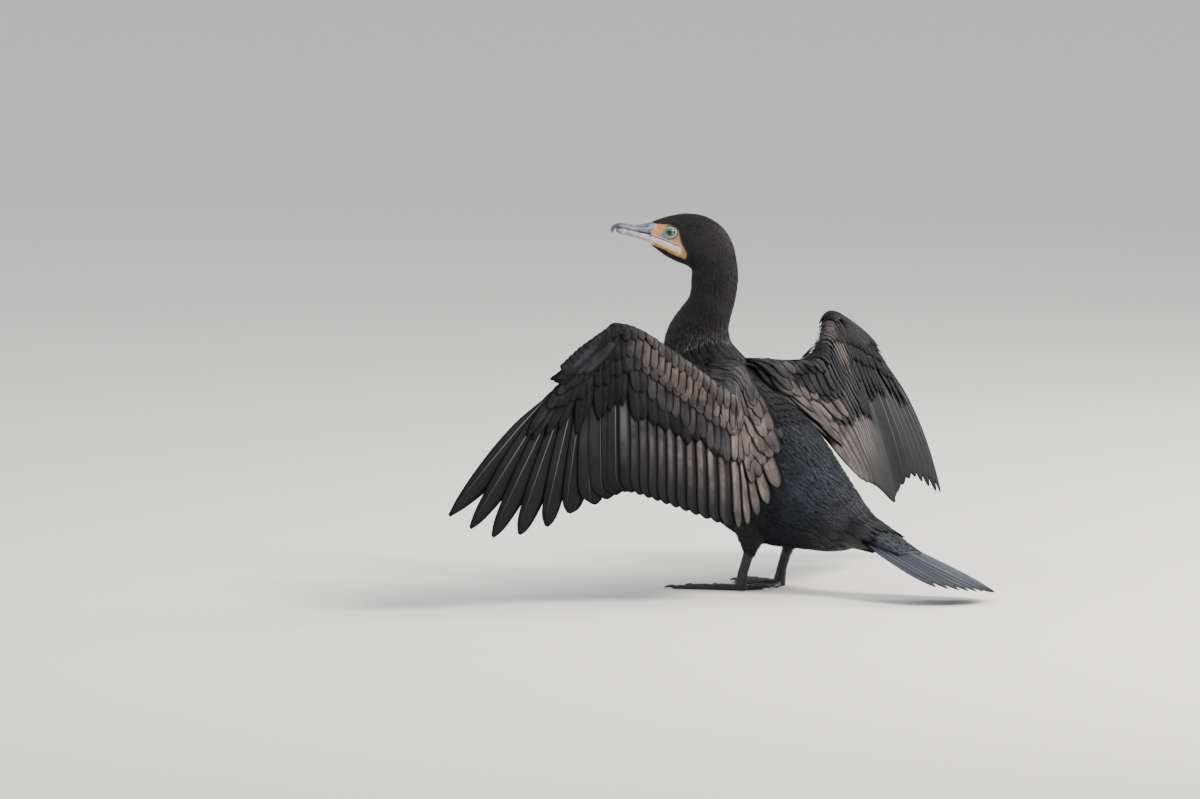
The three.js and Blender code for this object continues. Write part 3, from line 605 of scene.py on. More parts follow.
bareSkin = {
    # the feathers end behind the bare skin on this line: z, and forward
    "edge": [
        [288, 60],
        [291, 47],
        [295, 33.5],
        [299, 25],
        [303, 24.4],
        [307, 26.2],
        [311, 28.2],
        [315, 30],
        [319, 31],
        [323, 31.6],
        [327, 33.5],
        [329.3, 38],
        [329.8, 44],
        [329.9, 54],
        [330.4, 59],
    ],
    # and below it on this one: forward, and z
    "throat": [[20, 296.5], [26, 297.6], [34, 301], [46, 307.2], [58, 311.5]],
    "from": 16,
    # the mouth, and how the jaw falls away from its line
    "mouthFrom": [28, 31],
    "jaw": {"slope": 0.09, "at": 44},
    # the patches of colour: middles and reaches, or where each starts and is full
    "cream": {"above": [-7.2, -5], "below": [1.9, 1.1]},
    "lores": {"forward": [49.5, 5.5], "above": [319.5, 322.5], "amount": 1.2},
    "cheek": {"forward": [34.5, 3.6], "z": [315.5, 3.2], "amount": 0.8},
    "ochre": {"below": [-4.6, -6.2], "behind": [60, 50]},
    "underEye": {"forward": [47, 6.5], "z": [318.6, 2.6], "amount": 1},
    "aroundEye": {"within": [8.4, 6.2], "amount": 0.7},
    # painted shade: a line along the crease of the mouth, and a patch under the bill (chin)
    "mouthLine": [0.1, 0.55],
    "chin": {"below": [-9.5, -12], "forward": [36, 46], "amount": 0.75},
}


# 1 on bare skin, 0 where feathers grow.
def bareFace(points, station):
    forward, z = facePlace(points)
    edge, throat = np.array(bareSkin["edge"], float), np.array(bareSkin["throat"], float)
    past = forward - np.interp(z, edge[:, 0], edge[:, 1])
    above = z - np.interp(forward, throat[:, 0], throat[:, 1])
    return smoothStep(-0.7, 0.7, past) * smoothStep(-0.8, 0.6, above) * (station > bareSkin["from"])


# Painted sheen, brown and pale flecks of the plumage at each place.
def bodyTones(station, around):
    upper = smoothStep(-0.45, 0.5, np.cos(around))
    onBack = smoothStep(10.5, 8.5, station)
    # painted sheen, strongest on the upper side of the back, and a little on the neck
    paintedSheen = onBack * upper * (0.6 + 0.4 * smoothStep(4.5, 2.4, station))
    paintedSheen += 0.15 * smoothStep(8, 14, station)
    brown = smoothStep(8.6, 12, station) * (0.55 + 0.3 * upper)
    pale = hump(station, 9.6, 0.9) * upper * 0.8 + hump(station, 11, 1) * 0.25
    return np.stack([paintedSheen, brown, pale], axis=-1)


# Skin

bodySkin = {
    # spans of the spine, rump to bill, and the rows of points in each
    "ends": [-1.15, 0.35, 9.3, 15.5, 22],
    "rows": [22, 90, 60, 120],
    "sides": 132,
}
spans = zip(bodySkin["ends"], bodySkin["ends"][1:], bodySkin["rows"])
station = np.concatenate([np.linspace(*span)[min(n, 1) :] for n, span in enumerate(spans)])


def placeSkin(row, column):
    along = station[row]
    around = column * 2 * math.pi / bodySkin["sides"]
    points = bodyPoint(along, around, -skinDepth(along))
    forward, z = facePlace(points)
    above = z - mouthLine(forward)
    aboveJaw = above - bareSkin["jaw"]["slope"] * (forward - bareSkin["jaw"]["at"])
    fromEye = np.hypot(forward - head["eyeForward"], z - head["eyeZ"])
    bare = bareFace(points, along)
    inFront = smoothStep(*bareSkin["mouthFrom"], forward)
    spot = lambda look: hump(forward, *look["forward"]) * hump(z, *look["z"]) * look["amount"]
    clip = lambda v: np.clip(v, 0, 1)

    lores, gapeAt, chin, ring = (bareSkin[key] for key in ("lores", "ochre", "chin", "aroundEye"))
    cream = smoothStep(*bareSkin["cream"]["above"], aboveJaw) * smoothStep(*bareSkin["cream"]["below"], above)
    cream = cream * inFront
    orange = hump(forward, *lores["forward"]) * smoothStep(*lores["above"], z) * lores["amount"]
    orange += spot(bareSkin["cheek"])
    ochre = smoothStep(*gapeAt["below"], aboveJaw) * smoothStep(*gapeAt["behind"], forward)
    grey = spot(bareSkin["underEye"]) + ring["amount"] * smoothStep(*ring["within"], fromEye)
    chinShade = chin["amount"] * smoothStep(*chin["below"], above) * smoothStep(*chin["forward"], forward)
    # painted shade along the crease of the mouth and under the bill
    paintedFaceShade = hump(above, *bareSkin["mouthLine"]) * inFront + chinShade
    marks = {
        "tone": bodyTones(along, around) * 0.8,
        "face": np.stack([bare, clip(cream), clip(orange)], axis=-1),
        "face2": np.stack([clip(ochre), clip(grey), clip(paintedFaceShade)], axis=-1),
    }
    return points, marks


skin = sleeve("body_skin", len(station), bodySkin["sides"], placeSkin)
skinLook = skinMaterial("feathered_skin")
finishPiece(skin, skinLook, "body_plumage", "torso", "neck_lower", "neck_upper", "head")
print("skin done", len(skin.data.polygons))


# Coat of small feathers

coat = {
    "tuft": {"columns": 3, "rows": 4},
    "thick": 0.35,
    "sink": 0.5,
    "camber": 0.18,
    "curve": 1.2,
    "ruffle": 0.5,
    "outline": [[0, 0.55], [0.3, 1], [0.7, 0.86], [0.92, 0.5], [1, 0.16]],
    # place along the spine, feather length, width, and how many grow on each square millimetre
    "growth": [
        [-1.2, 9, 3, 0.2],
        [0.4, 9, 2.6, 0.22],
        [2, 8.5, 2, 0.26],
        [5, 8, 1.9, 0.27],
        [8, 7.6, 2, 0.26],
        [10, 6.2, 2, 0.34],
        [13, 5.2, 1.7, 0.46],
        [16, 4.4, 1.4, 0.62],
        [19, 3.4, 1.1, 0.95],
        [21, 2.6, 0.9, 1.4],
        [22, 2.1, 0.8, 1.7],
    ],
    # name, span of the spine, cells along and around it in which the feathers are counted out
    "pieces": [
        ["coat_belly", -1.1, 4.6, 60, 96],
        ["coat_breast", 4.6, 7.2, 26, 96],
        ["coat_shoulders", 7.2, 9.6, 24, 96],
        ["coat_neck", 9.6, 15.2, 60, 72],
        ["coat_head", 15.2, 21.95, 110, 96],
    ],
    "uvFrom": 1.2,
    "uvSpan": 23.4,
}


# Seeded places spread evenly over a surface that goes once round in b.
def scatter(surface, lowA, highA, cellsA, cellsB, density):
    edgesA = np.linspace(lowA, highA, cellsA + 1)
    stepA, stepB = (highA - lowA) / cellsA, 2 * math.pi / cellsB
    gridA, gridB = np.meshgrid(edgesA[:-1] + stepA / 2, np.arange(cellsB) * stepB, indexing="ij")
    gridA, gridB = gridA.ravel(), gridB.ravel()
    alongA, alongB = slopes(surface, gridA, gridB)
    area = np.linalg.norm(np.cross(alongA, alongB), axis=-1) * stepA * stepB
    wanted = area * density(gridA, gridB)
    number = np.floor(wanted + random.random(len(wanted))).astype(int)
    a = np.repeat(gridA, number) + (random.random(number.sum()) - 0.5) * stepA
    b = np.repeat(gridB, number) + (random.random(number.sum()) - 0.5) * stepB
    return a, b


# The surface that the body's feathers grow from
def skinSurface(a, b):
    return bodyPoint(a, b, -skinDepth(a))


def coatPiece(name, low, high, cellsA, cellsB):
    growth = np.array(coat["growth"], float)
    read = lambda a, k: np.interp(a, growth[:, 0], growth[:, k])
    a, b = scatter(skinSurface, low, high, cellsA, cellsB, lambda ga, gb: read(ga, 3))
    feathered = bareFace(skinSurface(a, b), a) < 0.35
    a, b = a[feathered], b[feathered]
    alongA, alongB = slopes(skinSurface, a, b)
    jitter = (random.random(len(a)) - 0.5) * coat["ruffle"]
    heading = -unit(alongA) + unit(alongB) * jitter[:, None]
    depth = skinDepth(a)
    vary = 0.8 + 0.4 * random.random(len(a))
    look = {
        "length": read(a, 1) * vary,
        "width": read(a, 2) * (0.8 + 0.4 * random.random(len(a))),
        "thick": coat["thick"],
        "sink": coat["sink"],
        "rise": depth * (0.75 + 0.5 * random.random(len(a))),
        "camber": coat["camber"],
        "curve": (random.random(len(a)) - 0.5) * coat["curve"],
        "outline": coat["outline"],
        "outwards": -1,
    }
    made = layVanes(skinSurface, a, b, heading, tuft, look)
    marks = vaneMarks(tuft, len(a), bodyTones(a, b))
    u, v = (a + coat["uvFrom"]) / coat["uvSpan"], (b / (2 * math.pi)) % 1
    uv = patches(tuft, u, v, bakePatch, bakePatch)
    obj = meshOfCopies(name, made, tuft["triangles"], marks, uv)
    finishPiece(obj, plumage, "body_plumage")
    print(name, len(a), "feathers", len(obj.data.polygons), "triangles")


plumage = plumageMaterial("black_plumage")
tuft = vaneShape(coat["tuft"]["columns"], coat["tuft"]["rows"])
for piece in coat["pieces"]:
    coatPiece(*piece)


# Wings. Every flight feather has a place on the count from the body to the wing tip.

wingForm = {
    "tertials": 5,
    "secondaries": 14,
    "primaries": 10,
    "stackSlope": 0.11,
    "bow": 0.035,
    # place, half thickness of the arm at the leading edge, over the bone, at the rear
    "thick": [
        [0, 4, 9, 1.4],
        [5, 2.6, 8, 1.3],
        [12, 2.2, 6.6, 1.2],
        [19, 2.4, 5.4, 1.2],
        [24, 2, 4, 1.1],
        [29, 1.2, 2.6, 0.9],
    ],
    # the share of the vanes' length that the arm covers
    "reach": 0.27,
}
elbow = wingForm["tertials"]
wrist = elbow + wingForm["secondaries"]
wingTip = wrist + wingForm["primaries"]

# Knots of the lines of roots and tips and of the leading edge: place on the count, outward, forward and up
wings = {
    "left": {
        "side": -1,
        "shade": 0,
        "roots": [
            [0, 26, 16, 190],
            [2.5, 62, -6, 182],
            [5, 92, -26, 178],
            [12, 126, 8, 214],
            [19, 158, 40, 241],
            [24, 193, 49, 226],
            [29, 233, 53, 200],
        ],
        "tips": [
            [0, 44, -58, 104],
            [1.5, 68, -57, 84],
            [3.5, 102, -60, 69],
            [5, 124, -62, 68],
            [12, 173, -34, 88],
            [19, 214, -10, 104],
            [20.5, 221, -3, 101],
            [22.5, 237, 8.5, 93],
            [23.5, 258, 21, 86],
            [24.5, 278, 31, 75],
            [26.5, 328, 53, 68],
            [28.5, 368, 71, 89],
        ],
        "edge": [
            [0, 24, 52, 197],
            [5, 74, 60, 206],
            [12, 118, 54, 226],
            [18, 152, 51, 243],
            [19.5, 162, 48, 245],
            [24, 199, 54, 229],
            [29, 240, 58, 203],
        ],
    },
    "right": {
        "side": 1,
        "shade": 0.6,
        "roots": [
            [0, 26, 16, 190],
            [2.5, 48, 8, 192],
            [5, 72, -4, 194],
            [12, 112, 13, 212],
            [16, 136, 27, 224],
            [19, 156, 40, 233],
            [24, 192, 48, 222],
            [29, 232, 50, 203],
        ],
        "tips": [
            [0, 46, -62, 110],
            [2.5, 70, -60, 96],
            [5, 98, -52, 90],
            [12, 148, -26, 78],
            [19, 192, -6, 64],
            [21, 204, 2, 70],
            [24, 240, 10, 84],
            [26, 276, 22, 74],
            [28, 318, 38, 62],
            [29, 332, 46, 62],
        ],
        "edge": [
            [0, 24, 52, 197],
            [5, 70, 32, 190],
            [9, 95, 27, 198],
            [14, 124, 31, 207],
            [16, 136, 37, 219],
            [19, 156, 47, 236],
            [24, 198, 53, 226],
            [29, 238, 54, 206],
        ],
    },
}


# The surface that all vanes of one wing lie on, between its line of roots and its line of tips.
class Wing:
    def __init__(self, pose):
        self.pose = pose
        self.side = pose["side"]

    def mirrored(self, points):
        return points * np.array([self.side, 1, 1])

    def root(self, i):
        return smooth(self.pose["roots"], i)

    def chord(self, i):
        return smooth(self.pose["tips"], i) - self.root(i)

    def flat(self, i, v):
        return self.root(i) + self.chord(i) * v[:, None]

    def across(self, i, v):
        return (self.flat(i + 0.05, v) - self.flat(i - 0.05, v)) / 0.1

    def normal(self, i, v):
        return unit(np.cross(self.chord(i), self.across(i, v)))

    def point(self, i, v, lift=0.0):
        bow = 4 * v * (1 - v) * wingForm["bow"] * np.linalg.norm(self.chord(i), axis=-1)
        return self.flat(i, v) + self.normal(i, v) * (bow + lift)[:, None]

    def frontLength(self, i):
        return np.linalg.norm(smooth(self.pose["edge"], i) - self.root(i), axis=-1)

    def chordLength(self, i):
        return np.linalg.norm(self.chord(i), axis=-1)

    # The outside of the arm and of its vanes. behind is in
    # millimetres from the bone, less than 0 before it.
    def sheet(self, i, behind, face):
        edgeThick, boneThick, rearThick = smooth(wingForm["thick"], i).T[:, :, None]
        zero = np.zeros(len(i))
        edge, bone = smooth(self.pose["edge"], i), self.point(i, zero)
        reach = wingForm["reach"]
        rearPlace = zero + reach
        rear, rearUp = self.point(i, rearPlace), self.normal(i, rearPlace)
        frontUp = unit(np.cross(bone - edge, unit(self.across(i, zero))))
        boneUp = unit(frontUp + rearUp)
        outwards = unit(edge - bone)
        halfway = edge + (bone - edge) * 0.45
        front, chord = -self.frontLength(i), self.chordLength(i)
        nose = front - edgeThick[:, 0]
        stops = [
            (nose, edge + outwards * edgeThick),
            (front * 0.94, edge * 0.94 + bone * 0.06 + frontUp * edgeThick * face),
            (front * 0.55, halfway + frontUp * (edgeThick * 0.4 + boneThick * 0.6) * face),
            (zero, bone + boneUp * boneThick * face),
            (reach / 2 * chord, (bone + rear) / 2 + rearUp * (boneThick * 0.46 + rearThick * 0.54) * face),
            (reach * chord, rear + rearUp * rearThick * face),
            (0.45 * chord, self.point(i, zero + 0.45, zero + 0.6 * face)),
            (0.75 * chord, self.point(i, zero + 0.75, zero + 0.5 * face)),
            (chord, self.point(i, zero + 1, zero + 0.5 * face)),
        ]
        at = np.stack([s[0] for s in stops])
        points = throughKnots(at, np.stack([s[1] for s in stops]), np.maximum(behind, nose))
        return self.mirrored(points)

    def sheetSurface(self, face):
        return lambda i, behind: self.sheet(i.ravel(), behind.ravel(), face).reshape(*i.shape, 3)

    # Places along the wing that lie a spacing in millimetres apart.
    def evenPlaces(self, behind, start, end, spacing):
        fine = np.linspace(start, end, 200)
        line = self.sheet(fine, np.full(200, float(behind)), 1)
        run = runAlong(line)
        number = max(1, int(round(run[-1] / spacing)))
        return np.interp((np.arange(number) + 0.5) * run[-1] / number, run, fine)


# A vane's width along it: narrow at the root, full by one place and tapered from another to a blunt tip
def outlineOf(rootWide, fullBy, tipFrom, power, blunt):
    y = np.linspace(0, 1, 41)
    wide = rootWide + (1 - rootWide) * smoothStep(0, fullBy, y)
    past = np.clip((y - tipFrom) / (1 - tipFrom), 0, 1)
    return np.stack([y, np.maximum(wide * (1 - past**power) ** (1 / blunt), 0.1)], axis=1)


flight = {
    "shape": {"columns": 9, "rows": 22},
    "thick": 0.5,
    "shaftThick": 0.9,
    # each group: its span on the count, how many, and the first and last of it for half width, outline,
    # how pale the web is and how far the inner web shares it. The web's own tones are in the material.
    "groups": [
        {
            "span": [0, elbow],
            "many": 5,
            "from": 0.06,
            "halves": [10.5, 9.6],
            "shaft": 0.15,
            "outlines": [outlineOf(0.4, 0.3, 0.8, 2.4, 2), outlineOf(0.4, 0.3, 0.84, 2.4, 2)],
            "pale": [1, 0.85],
            "both": [0.95, 0.6],
            "shaftHighlight": 0,
        },
        {
            "span": [elbow, wrist],
            "many": 11,
            "from": 0.06,
            "halves": [10.6, 10.6],
            "shaft": 0.26,
            "outlines": [outlineOf(0.4, 0.3, 0.88, 2.6, 2), outlineOf(0.4, 0.3, 0.88, 2.6, 2)],
            "pale": [0.95, 0.45],
            "both": [0.12, 0],
            "shaftHighlight": 0.1,
        },
        {
            "span": [wrist, wingTip],
            "many": 10,
            "from": 0.04,
            "halves": [13, 13.5],
            "shaft": 0.4,
            "outlines": [outlineOf(0.35, 0.4, 0.88, 2.6, 2), outlineOf(0.3, 0.4, 0.5, 1.7, 1.4)],
            "pale": [0.13, 0.05],
            "both": [0.1, 0.1],
            "shaftHighlight": 0.6,
        },
    ],
}


# Single flight feathers, each lifted over the next one outwards by the stack's slope
def flightVanes(wing, shape, group):
    number, start, shaft = group["many"], group["from"], group["shaft"]
    share = (np.arange(number) + 0.5) / number
    between = lambda key: group[key][0] + (group[key][1] - group[key][0]) * share
    at, half = between("span"), between("halves")
    x = shape["x"] + shaft * (1 - shape["x"] ** 2)
    y, z = shape["y"], shape["z"]
    widths = [np.interp(y, outline[:, 0], outline[:, 1]) for outline in group["outlines"]]
    wide = widths[0] + (widths[1] - widths[0]) * share[:, None]
    fi = np.repeat(at, len(y))
    fv = np.tile(start + (1 - start) * y, number)
    across, chord = wing.across(fi, fv), wing.chord(fi)
    skew = dot(across, chord) / dot(chord, chord)
    reach = np.linalg.norm(across - chord * skew[:, None], axis=-1)
    sideways = (half[:, None] * x * wide).ravel()
    steps = sideways / reach
    newI, newV = fi + steps, fv - steps * skew
    ridge = np.exp(-((shape["x"] / 0.16) ** 2)) * (1 - 0.75 * y)
    arch = 0.5 * (1 - shape["x"] ** 2)
    bodyThick = flight["thick"] / 2 + ridge * flight["shaftThick"] / 2
    height = (z * bodyThick + arch)[None] + 0 * at[:, None]
    sag = np.interp(at, [0, elbow, wrist, wingTip], [2.2, 0.6, 0, 0])
    height = height + sag[:, None]
    rise = height.ravel() + sideways * wingForm["stackSlope"]
    points = wing.point(newI, newV) + wing.normal(newI, newV) * rise[:, None]
    # how strong a painted highlight along each shaft is
    shaftHighlight = np.full(number, float(group["shaftHighlight"]))
    tone = np.stack([between("pale"), between("both"), shaftHighlight], axis=-1)
    return wing.mirrored(points).reshape(number, -1, 3), tone


# Flight feathers and coverts. tone is how pale the web is, how
# far the inner web shares it, a painted highlight along the shaft.
def wingMaterial(name):
    s = Shader(name)
    pale, both, shaft = s.split("tone")
    across, along, seed = s.split("vane")
    mottle = s.noise(s.place(), 55, 4, 0.62)
    where = s.node("ShaderNodeCombineXYZ", None, [across * 6 + seed * 40, along * 1.4, seed])
    streak = s.noise(where, 1.0, 3, 0.6)
    outer = across.step(0.0, 0.24)
    web = outer + (1 - outer) * both
    edge = 1 - across.do("ABSOLUTE").step(0.5, 0.86)
    tip = 1 - along.step(0.5, 0.92) * (1 - both * 0.85)
    amount = web * edge * tip * pale * (0.62 + 0.65 * streak) * (0.75 + 0.4 * seed)
    black = s.mix(mottle, srgb(9, 9, 11), srgb(21, 20, 23))
    warm = s.mix(mottle.step(0.3, 0.7), srgb(80, 71, 70), srgb(136, 123, 119))
    cool = s.mix(mottle.step(0.3, 0.7), srgb(54, 53, 59), srgb(98, 95, 103))
    grey = s.mix((pale + seed * 0.16).step(0.35, 1.25), cool, warm)
    colour = s.mix(amount.do("MINIMUM", 1.0), black, grey)
    line = 1 - (across * 20).do("ABSOLUTE").do("MINIMUM", 1.0)
    colour = s.mix(line * (1 - shaft) * 0.7, colour, srgb(16, 14, 16))
    # a painted highlight along the shaft, strongest at its root
    colour = s.mix(line * shaft * (1 - along), colour, srgb(168, 166, 170))
    barbs = ((along * 150 + across.do("ABSOLUTE") * 9) * 6.283).do("SINE")
    s.set(Base_Color=colour, Roughness=0.52 + mottle * 0.14, Specular_IOR_Level=0.1)
    s.bump(barbs * 0.35 + s.noise(s.place(), 700, 2) * 0.4, 0.00025)
    return s.material


wingFeathers = wingMaterial("wing_feathers")
underFeathers = wingMaterial("under_wing_feathers")
wingSkin = plumageMaterial("wing_skin")
flightShape = vaneShape(flight["shape"]["columns"], flight["shape"]["rows"])
flightShape["y"] = 1 - (1 - flightShape["y"]) ** 1.4
covertShape = vaneShape(5, 8)
covertShape["y"] = 1 - (1 - covertShape["y"]) ** 1.3

coverts = {
    "round": outlineOf(0.5, 0.35, 0.6, 2.2, 2),
    "long": outlineOf(0.45, 0.3, 0.74, 2.2, 2),
    "narrow": outlineOf(0.45, 0.3, 0.6, 2, 1.5),
}


# One row of coverts, rooted some millimetres behind the bone and pointing back along the wing.
def covertRow(wing, face, at, behind, long, width, look, tone):
    surface = wing.sheetSurface(face)
    at = np.asarray(at, float)
    behind = np.broadcast_to(np.asarray(behind, float), at.shape).copy()
    alongA, alongB = slopes(surface, at, behind)
    chord = wing.mirrored(wing.chord(at))
    turn = (random.random(len(at)) - 0.5) * 0.12 + look.get("turn", 0)
    own = look.get("own", 0.7)
    heading = unit(alongB) * own + unit(chord) * (1 - own) + unit(alongA) * turn[:, None]
    vary = 0.92 + 0.16 * random.random(len(at))
    whole = {
        "length": long * vary,
        "width": width,
        "thick": 0.5,
        "sink": 0.6,
        "camber": 0.5,
        "roll": look.get("roll", 0.5) * -wing.side * face,
        "outwards": -wing.side * face,
        "base": look.get("base", 0.3) + 0.25 * random.random(len(at)),
        "rise": look.get("rise", 1.2),
        "outline": coverts[look.get("outline", "round")],
        "swept": 0.05,
        "far": True,
    }
    made = layVanes(surface, at, behind, heading, covertShape, whole)
    tones = np.repeat(np.asarray(tone, float)[None], len(at), axis=0)
    return made, tones, at


# Tiers of shorter coverts over the arm: where the tips end behind the bone, length, width, base, how pale
armTiers = [
    [62, 40, 12.4, 2.2, 0.5],
    [44, 31, 11.4, 2.5, 0.75],
    [29, 27, 10.6, 2.7, 1.0],
    [15, 24, 9.8, 2.6, 0.9],
    [3, 22, 9.2, 2.2, 0.6],
    [-8, 20, 8.6, 1.8, 0.36],
    [-18, 18, 8.4, 1.4, 0.24],
    [-27, 16, 8.2, 1.2, 0.2],
    [-36, 15, 8, 1.1, 0.16],
    [-45, 15, 8, 1.1, 0.14],
    [-54, 15, 8, 1.1, 0.14],
    [-63, 15, 8, 1.1, 0.14],
    [-72, 15, 8, 1.1, 0.14],
    [-81, 15, 8, 1.1, 0.14],
]
# Scapulars, which lie over the root of the wing: the same, from the lowest row up
scapularTiers = [
    [88, 44, 19, 5.5, 0.85],
    [72, 42, 18, 6, 0.95],
    [57, 38, 17, 6.4, 1.0],
    [43, 34, 16, 6.6, 0.9],
    [30, 31, 15, 6.6, 0.75],
    [17, 28, 14, 6.2, 0.6],
    [5, 24, 12.5, 5.6, 0.5],
    [-8, 22, 12, 4.8, 0.4],
]
scapularSpan = [-1.8, 3.3]
# The longest rows: root and length as shares of the vanes, the length at the wrist and at the wing tip
greaterCoverts = {
    "rootAt": 0.1,
    "long": [0.55, 0.55],
    "width": 12.6,
    "look": {"outline": "long", "base": 1.5, "own": 0.2},
    "tone": (0.62, 0.3, 0),
}
tertialCoverts = {
    "rootAt": 0.1,
    "long": [0.56, 0.56],
    "width": 16.5,
    "look": {"outline": "long", "base": 2.6, "own": 0.2},
    "tone": (1.0, 0.9, 0),
}
primaryCoverts = {
    "rootAt": 0.06,
    "long": [0.46, 0.38],
    "width": 10.6,
    "look": {"outline": "narrow", "base": 1.3, "own": 0.15, "rise": 0.9},
    "tone": (0.16, 0.5, 0),
}
# Rows over the hand: where they root behind the bone, length, width, base
handTiers = [[12, 34, 10.4, 2], [4, 25, 9.6, 2.2], [-2, 19, 8.6, 1.8]]
# Rows before the bone of the hand, as shares of the way to its leading edge
handFront = [0.2, 0.4, 0.6, 0.8, 1]


# One of the longest rows, over the roots of the flight feathers
def longRow(wing, places, own):
    chord = wing.chordLength(places)
    first, last = own["long"]
    long = (first + (last - first) * (places - wrist) / (wingTip - wrist)) * chord
    return covertRow(wing, 1, places, own["rootAt"] * chord, long, own["width"], own["look"], own["tone"])


# Tiers from the flight feathers up to the leading edge
def upperCoverts(wing):
    greater, tones, at = longRow(wing, elbow + np.arange(wingForm["secondaries"]) + 0.4, greaterCoverts)
    tones[:, 0] *= 1 - 0.5 * smoothStep(elbow, wrist, at)
    rows = [(greater, tones, at)]
    rows.append(longRow(wing, np.arange(wingForm["tertials"]) + 0.5, tertialCoverts))
    rows.append(longRow(wing, wrist + (np.arange(11) - 0.2) * 0.9 + 0.3, primaryCoverts))
    for n, (tipAt, long, width, base, pale) in enumerate(armTiers):
        rootAt = tipAt - long
        at = wing.evenPlaces(rootAt, -1.5 + smoothStep(0, -30, rootAt), wrist - 0.4, width * 0.74)
        at = at + (n % 2) * 0.5 * np.gradient(at)
        at = at[(rootAt > -wing.frontLength(at)) & (at < wrist)]
        if len(at):
            look = {"base": base, "own": 0.75 if rootAt < 0 else 0.35}
            made, tones, at = covertRow(wing, 1, at, rootAt, long, width, look, (pale, 0.85, 0))
            tones[:, 0] *= (1 - 0.55 * smoothStep(14, 19, at)) * (1 - 0.35 * smoothStep(30, -30, tipAt))
            # painted shade: the inner arm of a wing that lies in shadow, set by its shade, is made darker
            if tipAt < 46:
                tones[:, 0] *= 1 - wing.pose["shade"] * smoothStep(14, 8, at)
            rows.append((made, tones, at))
    for n, (rootAt, long, width, base) in enumerate(handTiers):
        at = wing.evenPlaces(0, wrist - 0.4, wingTip - 0.8 - n, width * 0.72) + 0.2 * n
        look = {"base": base, "own": 0.3, "outline": "long"}
        rows.append(covertRow(wing, 1, at, rootAt, long, width, look, (0.2, 0.6, 0)))
    for n, frontShare in enumerate(handFront):
        at = wing.evenPlaces(0, wrist - 2.4, wingTip - 2.2, 6) + 0.3 * (n % 2)
        look = {"base": 2.4 - frontShare, "own": 0.5, "turn": 0.5}
        rootAt = -frontShare * wing.frontLength(at)
        rows.append(covertRow(wing, 1, at, rootAt, 13, 8, look, (0.15, 0.7, 0)))
    return rows


# Rows over the root of the wing, which lie closer to it at both ends of each row
def scapulars(wing):
    rows = []
    for n, (tipAt, long, width, base, pale) in enumerate(scapularTiers):
        start, end = scapularSpan
        at = wing.evenPlaces(tipAt - long, start, end - random.random(), width * 0.68)
        at = at + (n % 2) * 0.5 * np.gradient(at)
        base = base - (base - 2.6) * smoothStep(-0.2, 2.4, at) - (base - 1.6) * smoothStep(-0.5, -1.7, at)
        look = {"base": base, "own": 0.4, "rise": 1.2}
        made, tones, at = covertRow(wing, 1, at, tipAt - long, long, width, look, (pale, 0.9, 0))
        tones[:, 0] *= 1 - 0.4 * smoothStep(1, -1.8, at)
        rows.append((made, tones, at))
    return rows


# Under the wing: where the longest rows root and how long they are as shares of the vanes, width, base
underRows = [[0.1, 0.34, 11, 0.8], [0.02, 0.24, 10, 1.2]]
underTiers = {"many": 9, "spacing": 9.0, "length": 16, "width": 8.6}


def lowerCoverts(wing):
    rows = []
    for share, long, width, base in underRows:
        at = wing.evenPlaces(0, 0, wingTip - 2.6, width * 0.75)
        chord = wing.chordLength(at)
        look = {"outline": "long", "base": base}
        rows.append(covertRow(wing, -1, at, share * chord, long * chord, width, look, (0.14, 0.8, 0)))
    for n in range(underTiers["many"]):
        rootAt = -underTiers["spacing"] * n
        at = wing.evenPlaces(rootAt, -0.5, wingTip - 3.4, 7) + (n % 2) * 0.4
        at = at[rootAt > -wing.frontLength(at)]
        if len(at):
            long, width = underTiers["length"], underTiers["width"]
            rows.append(covertRow(wing, -1, at, rootAt, long, width, {"base": 1.1}, (0.12, 0.8, 0)))
    return rows


alulaForm = {
    # its three feathers: place past the wrist, millimetres behind the bone, how far each turns back
    "past": [1.6, 1.3, 1],
    "behind": [-3.0, 3.0, 9.0],
    "spread": [0.2, 0.26, 0.34],
    "length": [54.0, 48, 40],
    "width": [11.0, 12, 12],
    "base": [2.8, 3.2, 3.6],
    "tone": [0.3, 0.9, 0],
}


# The stiff small feathers of the thumb, along the leading edge of the hand
def alula(wing):
    at = wrist + np.array(alulaForm["past"])
    behind = np.array(alulaForm["behind"])
    surface = wing.sheetSurface(1)
    alongA, alongB = slopes(surface, at, behind)
    heading = unit(alongA) + unit(alongB) * np.array(alulaForm["spread"])[:, None]
    look = {
        "length": alulaForm["length"],
        "width": alulaForm["width"],
        "thick": 0.7,
        "sink": 1,
        "camber": 0.8,
        "roll": 0.6,
        "outwards": -wing.side,
        "base": alulaForm["base"],
        "rise": 0.1,
        "outline": coverts["long"],
        "swept": 0.1,
        "far": True,
    }
    vanes = layVanes(surface, at, behind, heading, covertShape, look)
    return vanes, np.array([alulaForm["tone"]] * len(at)), at


# All rows of one side as one piece
def joinRows(name, rows, material, slot):
    points = np.concatenate([r[0] for r in rows])
    tone = np.concatenate([r[1] for r in rows])
    u = np.concatenate([(r[2] + 2) / (wingTip + 4) for r in rows])
    v = np.concatenate([np.full(len(r[2]), (n + 0.5) / len(rows)) for n, r in enumerate(rows)])
    uv = patches(covertShape, u, v, 0.02, 0.8 / len(rows))
    obj = meshOfCopies(name, points, covertShape["triangles"], vaneMarks(covertShape, len(u), tone), uv)
    finishPiece(obj, material, slot)
    print(name, len(u), "coverts")


arm = {"from": -1.9, "to": wingTip - 2.6, "rows": 72, "sides": 28, "within": 0.9}


